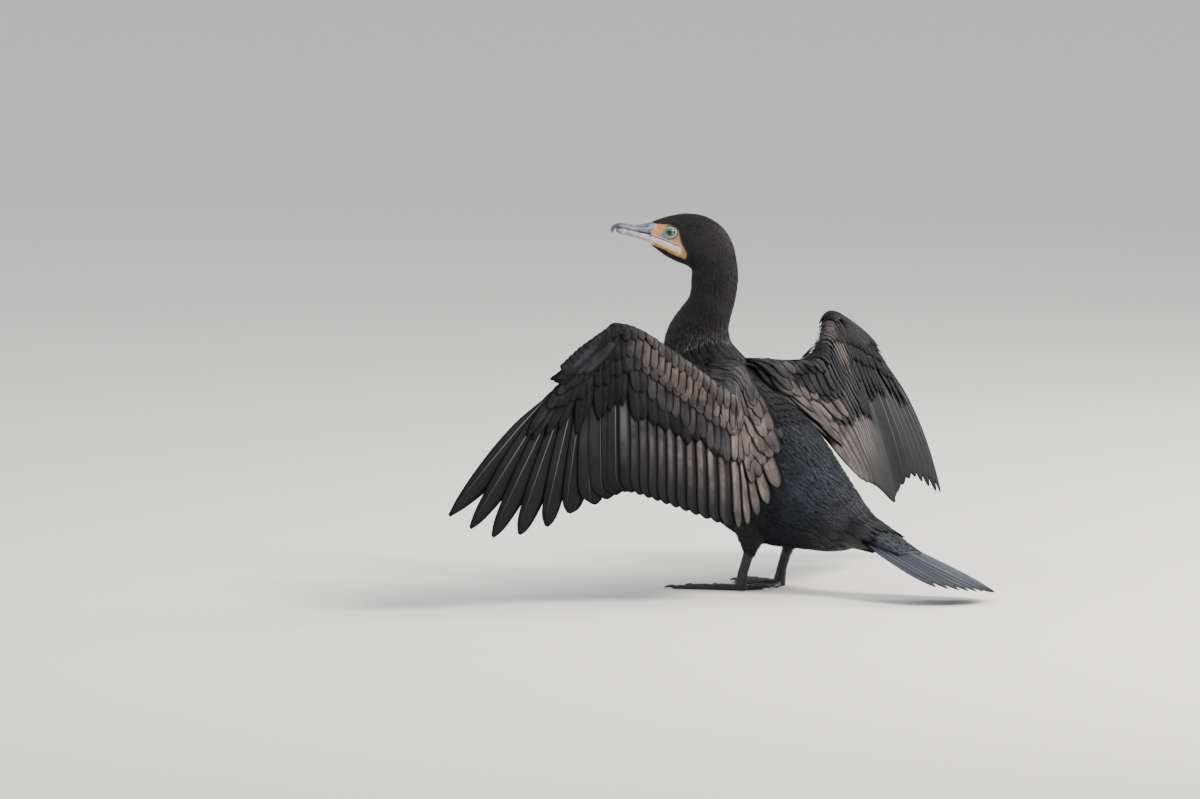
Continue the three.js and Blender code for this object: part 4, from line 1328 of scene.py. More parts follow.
# The fleshy arm, just inside the surface that the coverts lie on
def armSkin(name, wing):
    places = np.linspace(arm["from"], arm["to"], arm["rows"])

    def place(row, column):
        i = places[row]
        turn = column / arm["sides"]
        face = np.where(turn < 0.5, 1.0, -1.0)
        forwards = 1 - np.abs(2 * turn - 1)
        rear = 0.3 * wing.chordLength(i)
        behind = rear - forwards * (rear + wing.frontLength(i) + 1)
        top = wing.sheet(i, behind, 1.0)
        bottom = wing.sheet(i, behind, -1.0)
        middle = (top + bottom) / 2
        points = middle + (np.where(face[:, None] > 0, top, bottom) - middle) * arm["within"]
        return points, {"tone": np.tile([0.1, 0.2, 0.0], (len(i), 1))}

    return sleeve(name, len(places), arm["sides"], place)


shoulder = {"from": [4, 38, 188], "to": 4, "high": [9, 4], "deep": [24, 12], "rows": 16, "sides": 28}


# Closes the join between the back and the front of the wing.
def shoulderSkin(name, wing):
    start = np.array(shoulder["from"]) * np.array([wing.side, 1, 1])
    at = np.array([float(shoulder["to"])])
    behind = -0.6 * wing.frontLength(at)
    end = ((wing.sheet(at, behind, 1.0) + wing.sheet(at, behind, -1.0)) / 2)[0]

    def place(row, column):
        t = row / (shoulder["rows"] - 1)
        around = column * 2 * math.pi / shoulder["sides"]
        cap = np.sqrt(np.maximum(1 - (2 * t - 1) ** 8, 0.001))
        high = (shoulder["high"][0] + (shoulder["high"][1] - shoulder["high"][0]) * t) * cap
        deep = (shoulder["deep"][0] + (shoulder["deep"][1] - shoulder["deep"][0]) * t) * cap
        off = np.stack([0 * t, np.cos(around) * deep, np.sin(around) * high], axis=-1)
        points = start + (end - start) * t[:, None] + off
        return points, {"tone": np.tile([0.1, 0.2, 0.0], (len(t), 1))}

    return sleeve(name, shoulder["rows"], shoulder["sides"], place)


for wingName, pose in wings.items():
    wing = Wing(pose)
    finishPiece(shoulderSkin(f"shoulder_{wingName}", wing), wingSkin, "body_plumage")
    made = [flightVanes(wing, flightShape, group) for group in flight["groups"]]
    points = np.concatenate([m[0] for m in made])
    tone = np.concatenate([m[1] for m in made])
    number = len(points)
    u, v = (np.arange(number) + 0.5) / number, np.full(number, 0.5)
    marks = vaneMarks(flightShape, number, tone)
    uv = patches(flightShape, u, v, 0.9 / number, 0.95)
    vanes = meshOfCopies(f"flight_feathers_{wingName}", points, flightShape["triangles"], marks, uv)
    finishPiece(vanes, wingFeathers, "wing_feathers")
    print("flight feathers", wingName, number)
    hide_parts(f"wing_{wingName}_upper", f"wing_{wingName}_forearm", f"wing_{wingName}_hand")
    fronts = [f"wing_{wingName}_upper_front", f"wing_{wingName}_forearm_front"]
    finishPiece(armSkin(f"arm_skin_{wingName}", wing), wingSkin, "wing_feathers", *fronts)
    rows = upperCoverts(wing) + [alula(wing)]
    joinRows(f"upper_coverts_{wingName}", rows, wingFeathers, "wing_feathers")
    joinRows(f"scapulars_{wingName}", scapulars(wing), wingFeathers, "body_plumage")
    joinRows(f"under_coverts_{wingName}", lowerCoverts(wing), underFeathers, "wing_feathers")


# Tail: twelve stiff feathers, the middle ones longest and on top

tail = {
    "feathers": 12,
    "rootY": -128,
    "rootZ": 54,
    "rootSpread": 17,
    "tipY": -254,
    "tipZ": 12,
    "shortening": 30,
    "tipSpread": 45,
    "halfWidth": 8.4,
    "arch": 4,
    "roll": -0.1,
    "stack": 0.7,
    "outline": outlineOf(0.35, 0.3, 0.62, 1.9, 1.35),
}


def tailPoint(lateral, along, lift):
    y = tail["rootY"] + (tail["tipY"] + tail["shortening"] * lateral**2 - tail["rootY"]) * along
    share = (y - tail["rootY"]) / (tail["tipY"] - tail["rootY"])
    x = lateral * (tail["rootSpread"] + (tail["tipSpread"] - tail["rootSpread"]) * along)
    z = tail["rootZ"] + (tail["tipZ"] - tail["rootZ"]) * share
    z = z - tail["arch"] * lateral**2 * along + tail["roll"] * x * along + lift
    return np.stack([x, y, z], axis=-1)


def tailVanes(shape):
    n = np.arange(tail["feathers"])
    lateral = -1 + 2 * (n + 0.5) / tail["feathers"]
    rank = np.abs(lateral) * tail["feathers"] / 2 - 0.5
    layer = -(rank + np.where(lateral > 0, 0.5, 0)) * tail["stack"]
    y, z = shape["y"][None], shape["z"][None]
    outwards = np.sign(lateral)[:, None]
    x = shape["x"][None] + 0.28 * outwards * (1 - shape["x"][None] ** 2)
    wide = np.interp(shape["y"], tail["outline"][:, 0], tail["outline"][:, 1])[None]
    lateral2 = np.repeat(lateral[:, None], len(shape["y"]), axis=1)
    points = tailPoint(lateral2, np.repeat(y, len(n), axis=0), layer[:, None] * (0.4 + 0.6 * y))
    points[:, :, 0] += x * wide * tail["halfWidth"]
    ridge = np.exp(-((shape["x"] / 0.15) ** 2))[None] * (1 - 0.7 * y)
    height = z * (0.25 + 0.55 * ridge) + 0.35 * (1 - shape["x"][None] ** 2)
    height = height - outwards * x * wide * tail["halfWidth"] * 0.05
    points[:, :, 2] += height
    points[:, :, 1] -= height * 0.3
    tone = np.stack([0.55 + 0 * lateral, 0.9 + 0 * lateral, 0 * lateral], axis=-1)
    return points, tone


# Slate blue webs with black shafts and black edges.
def tailMaterial(name):
    s = Shader(name)
    across, along, seed = s.split("vane")
    mottle = s.noise(s.place(), 60, 4, 0.6)
    where = s.node("ShaderNodeCombineXYZ", None, [across * 5 + seed * 31, along * 1.3, seed])
    streak = s.noise(where, 1.0, 3, 0.6)
    away = across.do("ABSOLUTE")
    web = away.step(0.12, 0.3) * (1 - away.step(0.62, 0.9)) * (1 - along.step(0.86, 0.99))
    black = s.mix(mottle, srgb(12, 13, 17), srgb(24, 26, 33))
    slate = s.mix(streak.step(0.3, 0.7), srgb(34, 37, 50), srgb(74, 79, 100))
    colour = s.mix(web * (0.5 + 0.5 * streak), black, slate)
    barbs = ((along * 130 + away * 8) * 6.283).do("SINE")
    s.set(Base_Color=colour, Roughness=0.46 + mottle * 0.12, Specular_IOR_Level=0.3)
    s.bump(barbs * 0.35 + s.noise(s.place(), 700, 2) * 0.3, 0.00025)
    return s.material


tailPoints, tailTone = tailVanes(flightShape)
number = tail["feathers"]
u, v = (np.arange(number) + 0.5) / number, np.full(number, 0.5)
tailPiece = meshOfCopies(
    "tail_feathers",
    tailPoints,
    flightShape["triangles"],
    vaneMarks(flightShape, number, tailTone),
    patches(flightShape, u, v, 0.9 / number, 0.95),
)
finishPiece(tailPiece, tailMaterial("tail_feathers"), "tail_feathers", "tail")
print("tail done")


# Larger feathers on the body: the mantle and the tail's coverts, in staggered rows

bodyRows = {
    # stations are the first and last row's places along the spine, and reach goes round the back in radians
    "mantle": {
        "stations": [9.3, 5.9],
        "rows": 15,
        "reach": 1.25,
        "spacing": 7,
        "length": 15,
        "width": 10,
        "base": 1.2,
    },
    "tail_coverts": {
        "stations": [2, 0.5],
        "rows": 8,
        "reach": 1.5,
        "spacing": 6,
        "length": 20,
        "width": 8,
        "base": 0.3,
    },
    "under_tail_coverts": {
        "stations": [1.9, 0.3],
        "rows": 8,
        "reach": 1.5,
        "spacing": 6.5,
        "length": 19,
        "width": 8,
        "base": 0.3,
    },
    "uvFrom": 1.6,
    "uvSpan": 23.8,
    # where the coverts of the tail end, over the roots of its feathers
    "tailEnd": {"y": -176, "z": 38, "halfWidth": 24, "half": 2, "spread": 9},
}


# The body, drawn out over the root of the tail. It can run past its end.
def rumpPoint(station, around):
    t = np.maximum((body["rumpFrom"] - station) / body["rumpSpan"], 0)
    first = skinSurface(np.maximum(station, body["rumpFrom"]), around)
    end = bodyRows["tailEnd"]
    within, past = np.minimum(t, 1), np.maximum(t - 1, 0)
    share = 1 - (1 - within) ** body["rumpEase"]
    step = (end["y"] + 112) * past
    last = np.stack(
        [
            np.sin(around) * (end["halfWidth"] + end["spread"] * past),
            end["y"] + step + 0 * around,
            end["z"] + step / 3 + np.cos(around) * end["half"],
        ],
        axis=-1,
    )
    return first + (last - first) * share[..., None]


# Places in rows across a surface, each row half a step aside of the one before.
def staggered(surface, look, middle):
    allA, allB = [], []
    fine = np.linspace(middle - look["reach"], middle + look["reach"], 160)
    for n, station in enumerate(np.linspace(*look["stations"], look["rows"])):
        line = surface(np.full(160, station), fine)
        run = runAlong(line)
        number = max(2, int(round(run[-1] / look["spacing"])))
        at = (np.arange(number) + 0.25 + 0.5 * (n % 2)) * run[-1] / number
        allA.append(np.full(number, station) + (random.random(number) - 0.5) * 0.04)
        allB.append(np.interp(at, run, fine))
    return np.concatenate(allA), np.concatenate(allB)


# middle is 0 for rows over the back and pi for rows under the belly
def scalePiece(name, surface, middle, toneOf, material, slot):
    look = bodyRows[name]
    a, b = staggered(surface, look, middle)
    alongA, alongB = slopes(surface, a, b)
    jitter = (random.random(len(a)) - 0.5) * 0.2
    heading = -unit(alongA) + unit(alongB) * jitter[:, None]
    whole = {
        "length": look["length"] * (0.9 + 0.2 * random.random(len(a))),
        "width": look["width"] * (0.92 + 0.16 * random.random(len(a))),
        "thick": 0.45,
        "sink": 1.2,
        "rise": 0.7,
        "camber": 0.7,
        "base": look["base"] + 0.3 * random.random(len(a)),
        "outline": coverts["round"],
        "outwards": -1,
        "swept": 0.06,
        "far": True,
    }
    made = layVanes(surface, a, b, heading, covertShape, whole)
    u, v = (a + bodyRows["uvFrom"]) / bodyRows["uvSpan"], (b / (2 * math.pi)) % 1
    uv = patches(covertShape, u, v, bakePatch, bakePatch)
    marks = vaneMarks(covertShape, len(a), toneOf(a, b))
    obj = meshOfCopies(name, made, covertShape["triangles"], marks, uv)
    finishPiece(obj, material, slot)
    print(name, len(a), "feathers")


def mantleTone(a, b):
    pale = (0.26 + 0.36 * smoothStep(0.2, 1, np.abs(b))) * smoothStep(6, 7.6, a) * smoothStep(9.6, 8.6, a)
    return np.stack([pale, 0.9 + 0 * a, 0 * a], axis=-1)


def tailCovertTone(a, b):
    return np.stack([0.36 + 0 * a, 0.9 + 0 * a, 0 * a], axis=-1)


scalePiece("mantle", skinSurface, 0, mantleTone, wingFeathers, "body_plumage")
scalePiece("tail_coverts", rumpPoint, 0, tailCovertTone, wingFeathers, "tail_feathers")
scalePiece("under_tail_coverts", rumpPoint, math.pi, tailCovertTone, plumage, "tail_feathers")


# Thighs: a short feathered sleeve on each side, which ends in a ragged fringe over the bare leg

thigh = {
    # height, share of the distance to the side, forward, half width, half depth
    "rings": [
        [39, 1, -9, 6.6, 8],
        [48, 1, -10, 11, 13],
        [60, 0.98, -13, 17, 20],
        [84, 0.9, -14, 19.2, 24],
    ],
    "side": 29,
    "from": 40,
    "to": 88,
    "skinDepth": 1.8,
    "rows": 30,
    "sides": 40,
    # feathers on each square millimetre, where they end, and how much longer they get towards the bare leg
    "density": 0.34,
    "coatTo": 82,
    "cells": [24, 40],
    "length": 8,
    "fringe": 2.5,
    "fringeFrom": [50, 42],
    "width": 2.1,
    "ruffle": 0.6,
}


def thighSurface(side):
    def surface(z, around):
        rings = smooth(thigh["rings"], z.ravel()).reshape(*z.shape, 4)
        share, forward, wide, deep = np.moveaxis(rings, -1, 0)
        x = side * thigh["side"] * share + np.cos(around) * (wide - thigh["skinDepth"])
        y = forward + np.sin(around) * (deep - thigh["skinDepth"])
        return np.stack([x, y, z + 0 * around], axis=-1)

    return surface


for thighName, side in (("left", -1), ("right", 1)):
    surface = thighSurface(side)
    heights = np.linspace(thigh["from"], thigh["to"], thigh["rows"])

    def placeThigh(row, column):
        z, around = heights[row], column * 2 * math.pi / thigh["sides"]
        return surface(z, around), {"tone": np.tile([0.05, 0, 0], (len(row), 1))}

    inner = sleeve(f"thigh_skin_{thighName}", thigh["rows"], thigh["sides"], placeThigh)
    finishPiece(inner, wingSkin, "body_plumage", f"thigh_{thighName}")
    density = lambda ga, gb: thigh["density"] + 0 * ga
    a, b = scatter(surface, thigh["from"], thigh["coatTo"], *thigh["cells"], density)
    alongA, alongB = slopes(surface, a, b)
    jitter = (random.random(len(a)) - 0.5) * thigh["ruffle"]
    heading = -unit(alongA) + unit(alongB) * jitter[:, None]
    long = thigh["length"] + thigh["fringe"] * smoothStep(*thigh["fringeFrom"], a)
    look = {
        "length": long * (0.7 + 0.6 * random.random(len(a))),
        "width": thigh["width"],
        "thick": coat["thick"],
        "sink": coat["sink"],
        "rise": 1.2 + 1.4 * random.random(len(a)),
        "camber": coat["camber"],
        "outline": coat["outline"],
        "outwards": -1,
    }
    made = layVanes(surface, a, b, heading, tuft, look)
    marks = vaneMarks(tuft, len(a), np.tile([0.08, 0, 0], (len(a), 1)))
    uv = patches(tuft, (a - 30) / 70, b / 6.5, bakePatch, bakePatch)
    plush = meshOfCopies(f"thigh_plumage_{thighName}", made, tuft["triangles"], marks, uv)
    finishPiece(plush, plumage, "body_plumage")
    print("thigh", thighName, len(a), "feathers")


# Eyes: a ball that looks a little forwards, in a beaded ring

eyes = {
    "tilt": 17,
    "cornea": 0.35,
    "corneaReach": 3,
    # distances from the middle of the ball where each part ends: start and end of a soft edge
    "pupil": [2.25, 2.5],
    "iris": [2.6, 4.2],
    "rim": [4.2, 4.6],
    "behind": 9,
    "ring": {
        "wide": 5.35,
        "high": 4.3,
        "thick": 1.1,
        "flat": 0.85,
        "lift": 0.2,
        "beads": 30,
        "beadDepth": 0.16,
    },
}


# Moves a primitive's points to places in millimetres, and turns its faces outwards.
def shapeFrom(obj, points, marks):
    setPoints(obj, points * metre + toFrame)
    for key, values in marks.items():
        mark(obj, key, values)
    editMode(obj)
    bpy.ops.mesh.normals_make_consistent(inside=False)
    bpy.ops.object.mode_set(mode="OBJECT")
    obj.data.shade_smooth()


# Where an eye sits, which way it looks, and its own forward and up
def eyeWays(side):
    tilt = math.radians(eyes["tilt"])
    start = onHead(0, 0, 0)
    forward, outwards = onHead(1, 0, 0) - start, onHead(0, side, 0) - start
    middle = onHead(head["eyeForward"], side * head["eyeSide"], head["eyeZ"])
    look = outwards * math.cos(tilt) + forward * math.sin(tilt)
    return middle, look, forward * math.cos(tilt) - outwards * math.sin(tilt), np.array([0.0, 0, 1])


def eyeball(name, side):
    middle, look, ahead, upwards = eyeWays(side)
    deselect()
    bpy.ops.mesh.primitive_uv_sphere_add(segments=64, ring_count=48, radius=1)
    obj = bpy.context.object
    obj.name = obj.data.name = name
    p = pointsOf(obj)
    off = np.hypot(p[:, 0], p[:, 1]) * head["eyeRadius"]
    bulge = eyes["cornea"] * hump(off, 0, eyes["corneaReach"]) * (p[:, 2] > 0)
    outwards = p[:, 2] * head["eyeRadius"] + bulge
    flat = p * head["eyeRadius"]
    points = middle + outwards[:, None] * look + flat[:, :1] * ahead + flat[:, 1:2] * upwards
    away = np.where(p[:, 2] > 0, off, eyes["behind"])
    turn = np.arctan2(p[:, 1], p[:, 0])
    shapeFrom(obj, points, {"eye": np.stack([away, np.cos(turn) * 4, np.sin(turn) * 4], axis=-1)})
    return obj


def eyeRing(name, side):
    middle, look, ahead, upwards = eyeWays(side)
    ring = eyes["ring"]
    deselect()
    segments = {"major_segments": 180, "minor_segments": 20}
    bpy.ops.mesh.primitive_torus_add(major_radius=1, minor_radius=0.25, **segments)
    obj = bpy.context.object
    obj.name = obj.data.name = name
    p = pointsOf(obj)
    turn = np.arctan2(p[:, 1], p[:, 0])
    aroundTube = np.arctan2(p[:, 2], np.hypot(p[:, 0], p[:, 1]) - 1)
    centre = np.stack([np.cos(turn) * ring["wide"], np.sin(turn) * ring["high"]], axis=-1)
    reach = np.linalg.norm(centre, axis=-1)
    height = np.sqrt((head["eyeRadius"] + ring["lift"]) ** 2 - reach**2)
    bead = 0.5 + 0.5 * np.cos(ring["beads"] * turn)
    thick = ring["thick"] - ring["beadDepth"] * (1 - bead)
    outwards = centre / reach[:, None] * (np.cos(aroundTube) * thick)[:, None]
    flat = centre + outwards
    up = height + np.sin(aroundTube) * thick * ring["flat"]
    points = middle + flat[:, :1] * ahead + flat[:, 1:] * upwards + up[:, None] * look
    marks = np.stack([bead, np.cos(aroundTube), np.sin(aroundTube)], axis=-1)
    shapeFrom(obj, points, {"ring": marks})
    return obj


# Black pupil, blue-green iris with fine spokes, dark rim.
def eyeMaterial(name):
    s = Shader(name)
    away, spokeX, spokeY = s.split("eye")
    where = s.node("ShaderNodeCombineXYZ", None, [spokeX, spokeY, away * 0.3])
    spokes = s.noise(where, 2.4, 3, 0.6)
    iris = s.mix(spokes.step(0.3, 0.7), srgb(22, 74, 74), srgb(84, 156, 140))
    iris = s.mix(away.step(*eyes["iris"]), iris, srgb(22, 60, 64))
    colour = s.mix(away.step(*eyes["pupil"]), srgb(3, 3, 4), iris)
    colour = s.mix(away.step(*eyes["rim"]), colour, srgb(10, 12, 13))
    s.set(Base_Color=colour, Roughness=0.12, Specular_IOR_Level=0.25)
    s.set(Coat_Weight=0.6, Coat_Roughness=0.02)
    return s.material


# Pale grey-green beads with darker skin between them, and painted shade on the side of the ring that faces in
# towards the eye.
def ringMaterial(name):
    s = Shader(name)
    bead, _, above = s.split("ring")
    grain = s.noise(s.place(), 900, 3, 0.6)
    colour = s.mix(bead * 0.7 + grain * 0.5, srgb(78, 92, 82), srgb(164, 176, 158))
    # painted shade: the side of the ring's tube that faces in, where it meets the eye and head, is made
    # darker
    colour = s.mix((0.0 - above).step(0.2, 0.9), colour, srgb(40, 42, 36))
    s.set(Base_Color=colour, Roughness=0.42, Specular_IOR_Level=0.5)
    s.bump(grain, 0.0002)
    return s.material


eyeGloss, ringSkin = eyeMaterial("eye"), ringMaterial("eye_ring")
for eyeName, side in (("left", -1), ("right", 1)):
    finishPiece(eyeball(f"eyeball_{eyeName}", side), eyeGloss, "eye", f"eye_{eyeName}")
    finishPiece(eyeRing(f"eye_ring_{eyeName}", side), ringSkin, "neck_plumage")
print("eyes done")


# Bill: two horn halves with a hooked nail, a groove on each side of the ridge and a sharp edge

bill = {
    "sides": 48,
    "rows": 90,
    # place, bottom forward and z, top forward and z, half width
    "upper": [
        [0, 52, 319.4, 52, 331.2, 7.2],
        [1, 57, 320.3, 57, 330.9, 6.7],
        [2, 63.8, 321.4, 63.8, 329.4, 5.1],
        [3, 70, 322.6, 70, 328.6, 4.1],
        [4, 76, 324, 76, 328.9, 3.6],
        [5, 82, 325.5, 82, 330.2, 3.5],
        [6, 87.5, 325.9, 87.5, 330.1, 3.2],
        [7, 90, 324.6, 92.2, 327.2, 2.4],
        [8, 91.2, 322.6, 93.4, 323.8, 1.5],
        [9, 91.4, 320.9, 92.2, 321.3, 0.4],
    ],
    "lower": [
        [0, 52, 309.2, 52, 319.6, 7.1],
        [1, 57, 311, 57, 320.5, 6.4],
        [2, 63.8, 314, 63.8, 321.7, 4.9],
        [3, 70, 316.4, 70, 322.9, 3.9],
        [4, 76, 318.3, 76, 324.3, 3.3],
        [5, 82, 319.4, 82, 325.8, 2.8],
        [6, 86.5, 321, 86.5, 326.1, 2],
        [7, 88.8, 323, 88.8, 325, 0.8],
    ],
    "squareness": 0.72,
    # lines along each half: how far out, then middle and reach in radians from the ridge
    "upperGroove": [-0.32, 1.1, 0.2],
    "upperEdge": [0.16, 2.5, 0.2],
    "lowerGroove": [-0.18, 1.9, 0.24],
    "lowerEdge": [0.14, 0.8, 0.22],
    # where the lines start and end, forward
    "linesFrom": [54, 60],
    "linesTo": [88, 80],
    "nostril": {"forward": 62.5, "long": 2.6, "depth": 0.4},
}


def billHalf(name, key):
    rows, sides = bill["rows"], bill["sides"]
    knots = bill[key]
    upper = key == "upper"

    def place(row, column):
        at = knots[-1][0] * row / (rows - 1)
        around = column * 2 * math.pi / sides
        bottomF, bottomZ, topF, topZ, half = smooth(knots, at).T
        lift = (1 + np.cos(around)) / 2
        forward, z = bottomF + (topF - bottomF) * lift, bottomZ + (topZ - bottomZ) * lift
        swing = np.sin(around)
        side = np.sign(swing) * np.abs(swing) ** bill["squareness"] * half
        away = np.abs(np.where(around > math.pi, 2 * math.pi - around, around))
        onward = smoothStep(*bill["linesFrom"], forward) * smoothStep(*bill["linesTo"], forward)
        for line in (key + "Groove", key + "Edge"):
            out, middle, reach = bill[line]
            if line == "upperGroove":
                nostril = bill["nostril"]
                out = out - hump(forward, nostril["forward"], nostril["long"]) * nostril["depth"]
            side = side + np.sign(side) * hump(away, middle, reach) * out * onward
        ridge = hump(away, 0, 0.8) if upper else 0.25 * hump(away, math.pi, 0.6)
        nail = smoothStep(80, 90, forward)
        base = smoothStep(66, 55, forward)
        # where the two halves meet: marks painted shade along the mouth
        mouth = smoothStep(2.3, 2.75, away) if upper else smoothStep(0.55, 0.2, away)
        # marks painted shade in the groove beside the ridge
        grooveShade = hump(away, 1.1, 0.16) * upper * onward
        marks = {
            "horn": np.stack([ridge, nail, base], axis=-1),
            "horn2": np.stack([mouth, grooveShade, 0 * away + (not upper)], axis=-1),
        }
        return onHead(forward, side, z), marks

    return sleeve(name, rows, sides, place)


# Silver-grey horn: dark ridge and nail, painted shade along the mouth line and in the grooves, paler lower
# half with cream at its base.
def billMaterial(name):
    s = Shader(name)
    ridge, nail, base = s.split("horn")
    mouth, grooveShade, lower = s.split("horn2")
    mottle = s.noise(s.place(), 170, 4, 0.65)
    scratch = s.noise(s.place((1, 1, 3.2)), 520, 4, 0.62)
    upperHorn = s.mix(mottle.step(0.3, 0.7), srgb(92, 96, 110), srgb(160, 163, 176))
    lowerHorn = s.mix(mottle.step(0.3, 0.7), srgb(136, 132, 144), srgb(196, 190, 202))
    cream = s.mix(scratch.step(0.35, 0.65), srgb(182, 166, 150), srgb(226, 214, 200))
    lowerHorn = s.mix(base, lowerHorn, cream)
    colour = s.mix(lower, upperHorn, lowerHorn)
    colour = s.mix(ridge * (0.55 + 0.4 * mottle), colour, srgb(44, 46, 56))
    colour = s.mix(nail * (0.55 + 0.45 * mottle), colour, srgb(52, 52, 62))
    # painted shade in the groove beside the ridge
    colour = s.mix(grooveShade * 0.75, colour, srgb(34, 36, 44))
    # painted shade along the mouth line, where the two halves meet
    colour = s.mix(mouth * 0.85, colour, srgb(26, 25, 28))
    colour = s.mix((1 - base) * scratch.step(0.58, 0.72) * 0.55, colour, srgb(52, 52, 60))
    s.set(Base_Color=colour, Roughness=0.34 + 0.16 * mottle, Specular_IOR_Level=0.5)
    s.bump(scratch * 0.6 + mottle * 0.4, 0.00028)
    return s.material


horn = billMaterial("bill_horn")
finishPiece(billHalf("bill_horn_upper", "upper"), horn, "bill", "bill_upper")
finishPiece(billHalf("bill_horn_lower", "lower"), horn, "bill", "bill_lower")
print("bill done")


# Legs and feet: bare skin in scutes over the toes and shank, fine scales on the webs

foot = {
    "side": thigh["side"],
    "heelY": 2,
    "yaw": 10,
    "voxel": 0.62,
    "smoothing": 5,
    "scute": 2.3,
    "scuteDepth": 0.16,
    "folds": 46,
    "foldDepth": 0.06,
    # name, direction in degrees outwards, length, width
    "toes": [
        ["hallux", -128, 22, 5],
        ["inner", -26, 38, 5.6],
        ["middle", -5, 54, 6],
        ["outer", 14, 64, 6.2],
    ],
    "claw": {
        "rows": 24,
        "sides": 20,
        "reach": 8,
        "overlap": 1.6,
        "bend": 1.35,
        "halfWidth": 1.3,
        "halfHeight": 1.65,
        "rootZ": 2,
        "arch": 0.9,
        "drop": 1.35,
        "tip": 0.06,
        "lowest": 0.05,
    },
}


def toeWay(side, angle):
    turn = math.radians(angle + foot["yaw"])
    return np.array([side * math.sin(turn), math.cos(turn), 0])


# Shank and foot of one side as one even skin, with its scutes and folds pressed in
def bareLeg(name, side):
    deselect()
    for node in (f"leg_{name}", f"foot_{name}"):
        copy = bpy.data.objects.new(node + "_copy", bpy.data.objects[node].data.copy())
        bpy.context.scene.collection.objects.link(copy)
        copy.select_set(True)
        bpy.context.view_layer.objects.active = copy
    bpy.ops.object.join()
    obj = bpy.context.object
    obj.name = obj.data.name = f"bare_leg_{name}"
    editMode(obj)
    bpy.ops.mesh.remove_doubles(threshold=1e-6)
    bpy.ops.object.mode_set(mode="OBJECT")
    remesh = obj.modifiers.new("even", "REMESH")
    remesh.mode = "VOXEL"
    remesh.voxel_size = foot["voxel"] * metre
    soften = obj.modifiers.new("soften", "SMOOTH")
    soften.factor = 0.5
    soften.iterations = foot["smoothing"]
    for modifier in (remesh.name, soften.name):
        bpy.ops.object.modifier_apply(modifier=modifier)
    p = (pointsOf(obj) - toFrame) / metre
    normals = np.zeros(len(p) * 3)
    obj.data.vertex_normals.foreach_get("vector", normals)
    normals = normals.reshape(-1, 3)
    heel = np.array([side * foot["side"], foot["heelY"], 0])
    flat = p - heel
    onToe = np.zeros(len(p))
    relief = np.zeros(len(p))
    for _, angle, length, width in foot["toes"]:
        way = toeWay(side, angle)
        along = flat @ way
        off = np.abs(flat[:, 0] * way[1] - flat[:, 1] * way[0])
        here = smoothStep(width * 0.62, width * 0.42, off) * (along > 3) * (along < length + 2)
        saw = (along / foot["scute"]) % 1
        relief = np.where(here > onToe, saw - 0.5, relief)
        onToe = np.maximum(onToe, here)
    onShank = smoothStep(8, 13, p[:, 2])
    saw = (p[:, 2] / foot["scute"] + 0.35 * np.sin(np.arctan2(flat[:, 1], flat[:, 0]))) % 1
    relief = relief * onToe * smoothStep(0.2, 0.7, normals[:, 2]) * (1 - onShank) + (saw - 0.5) * onShank
    fold = np.sin(np.arctan2(flat[:, 0], flat[:, 1]) * foot["folds"]) * foot["foldDepth"]
    fold = fold * (1 - onToe) * smoothStep(0.5, 0.9, normals[:, 2])
    p = p + normals * (relief * foot["scuteDepth"] * 2 + fold)[:, None]
    p[:, 2] = np.maximum(p[:, 2], 0)
    setPoints(obj, p * metre + toFrame)
    mark(obj, "skin", np.stack([onToe, onShank, relief], axis=-1))
    obj.data.shade_smooth()
    return obj


def claw(name, side, angle, length):
    look = foot["claw"]
    way = toeWay(side, angle)
    across = np.array([-way[1], way[0], 0])
    heel = np.array([side * foot["side"], foot["heelY"], 0])

    def place(row, column):
        t = row / (look["rows"] - 1)
        around = column * 2 * math.pi / look["sides"]
        size = (1 - t) ** 0.75 * (1 - look["tip"]) + look["tip"]
        curl = np.sin(t * look["bend"]) / math.sin(look["bend"])
        out = length - look["overlap"] + (look["reach"] + look["overlap"]) * curl
        z = look["rootZ"] + look["arch"] * np.sin(t * math.pi) * (1 - t) - look["drop"] * t * t
        points = heel + out[:, None] * way + (np.cos(around) * look["halfWidth"] * size)[:, None] * across
        points[:, 2] = np.maximum(z + np.sin(around) * look["halfHeight"] * size, look["lowest"])
        return points, {"vane": np.stack([np.cos(around), t, 0 * t], axis=-1)}

    return sleeve(name, look["rows"], look["sides"], place)


# Black skin with a bluish gloss, greyer between the scutes.
def footMaterial(name):
    s = Shader(name)
    onToe, onShank, relief = s.split("skin")
    cells = s.node("ShaderNodeTexVoronoi", None, {"Vector": s.place(), "Scale": 900.0})
    mottle = s.noise(s.place(), 90, 4, 0.6)
    colour = s.mix(mottle, srgb(12, 13, 16), srgb(27, 29, 35))
    colour = s.mix((1 - onToe) * (1 - onShank) * 0.6, colour, srgb(26, 28, 31))
    colour = s.mix((0.0 - relief).step(0.25, 0.5) * 0.6, colour, srgb(52, 56, 64))
    s.set(Base_Color=colour, Roughness=0.36 + cells * 0.3, Specular_IOR_Level=0.5)
    s.bump(cells * -0.8 + s.noise(s.place(), 500, 3) * 0.4, 0.00035)
    return s.material


# Black horn, browner towards the tip.
def clawMaterial(name):
    s = Shader(name)
    _, along, _ = s.split("vane")
    grain = s.noise(s.place(), 400, 3, 0.6)
    colour = s.mix(along.step(0.4, 1.0), srgb(13, 13, 15), srgb(46, 38, 34))
    s.set(Base_Color=colour, Roughness=0.28 + grain * 0.12, Specular_IOR_Level=0.5)
    s.bump(grain, 0.0001)
    return s.material


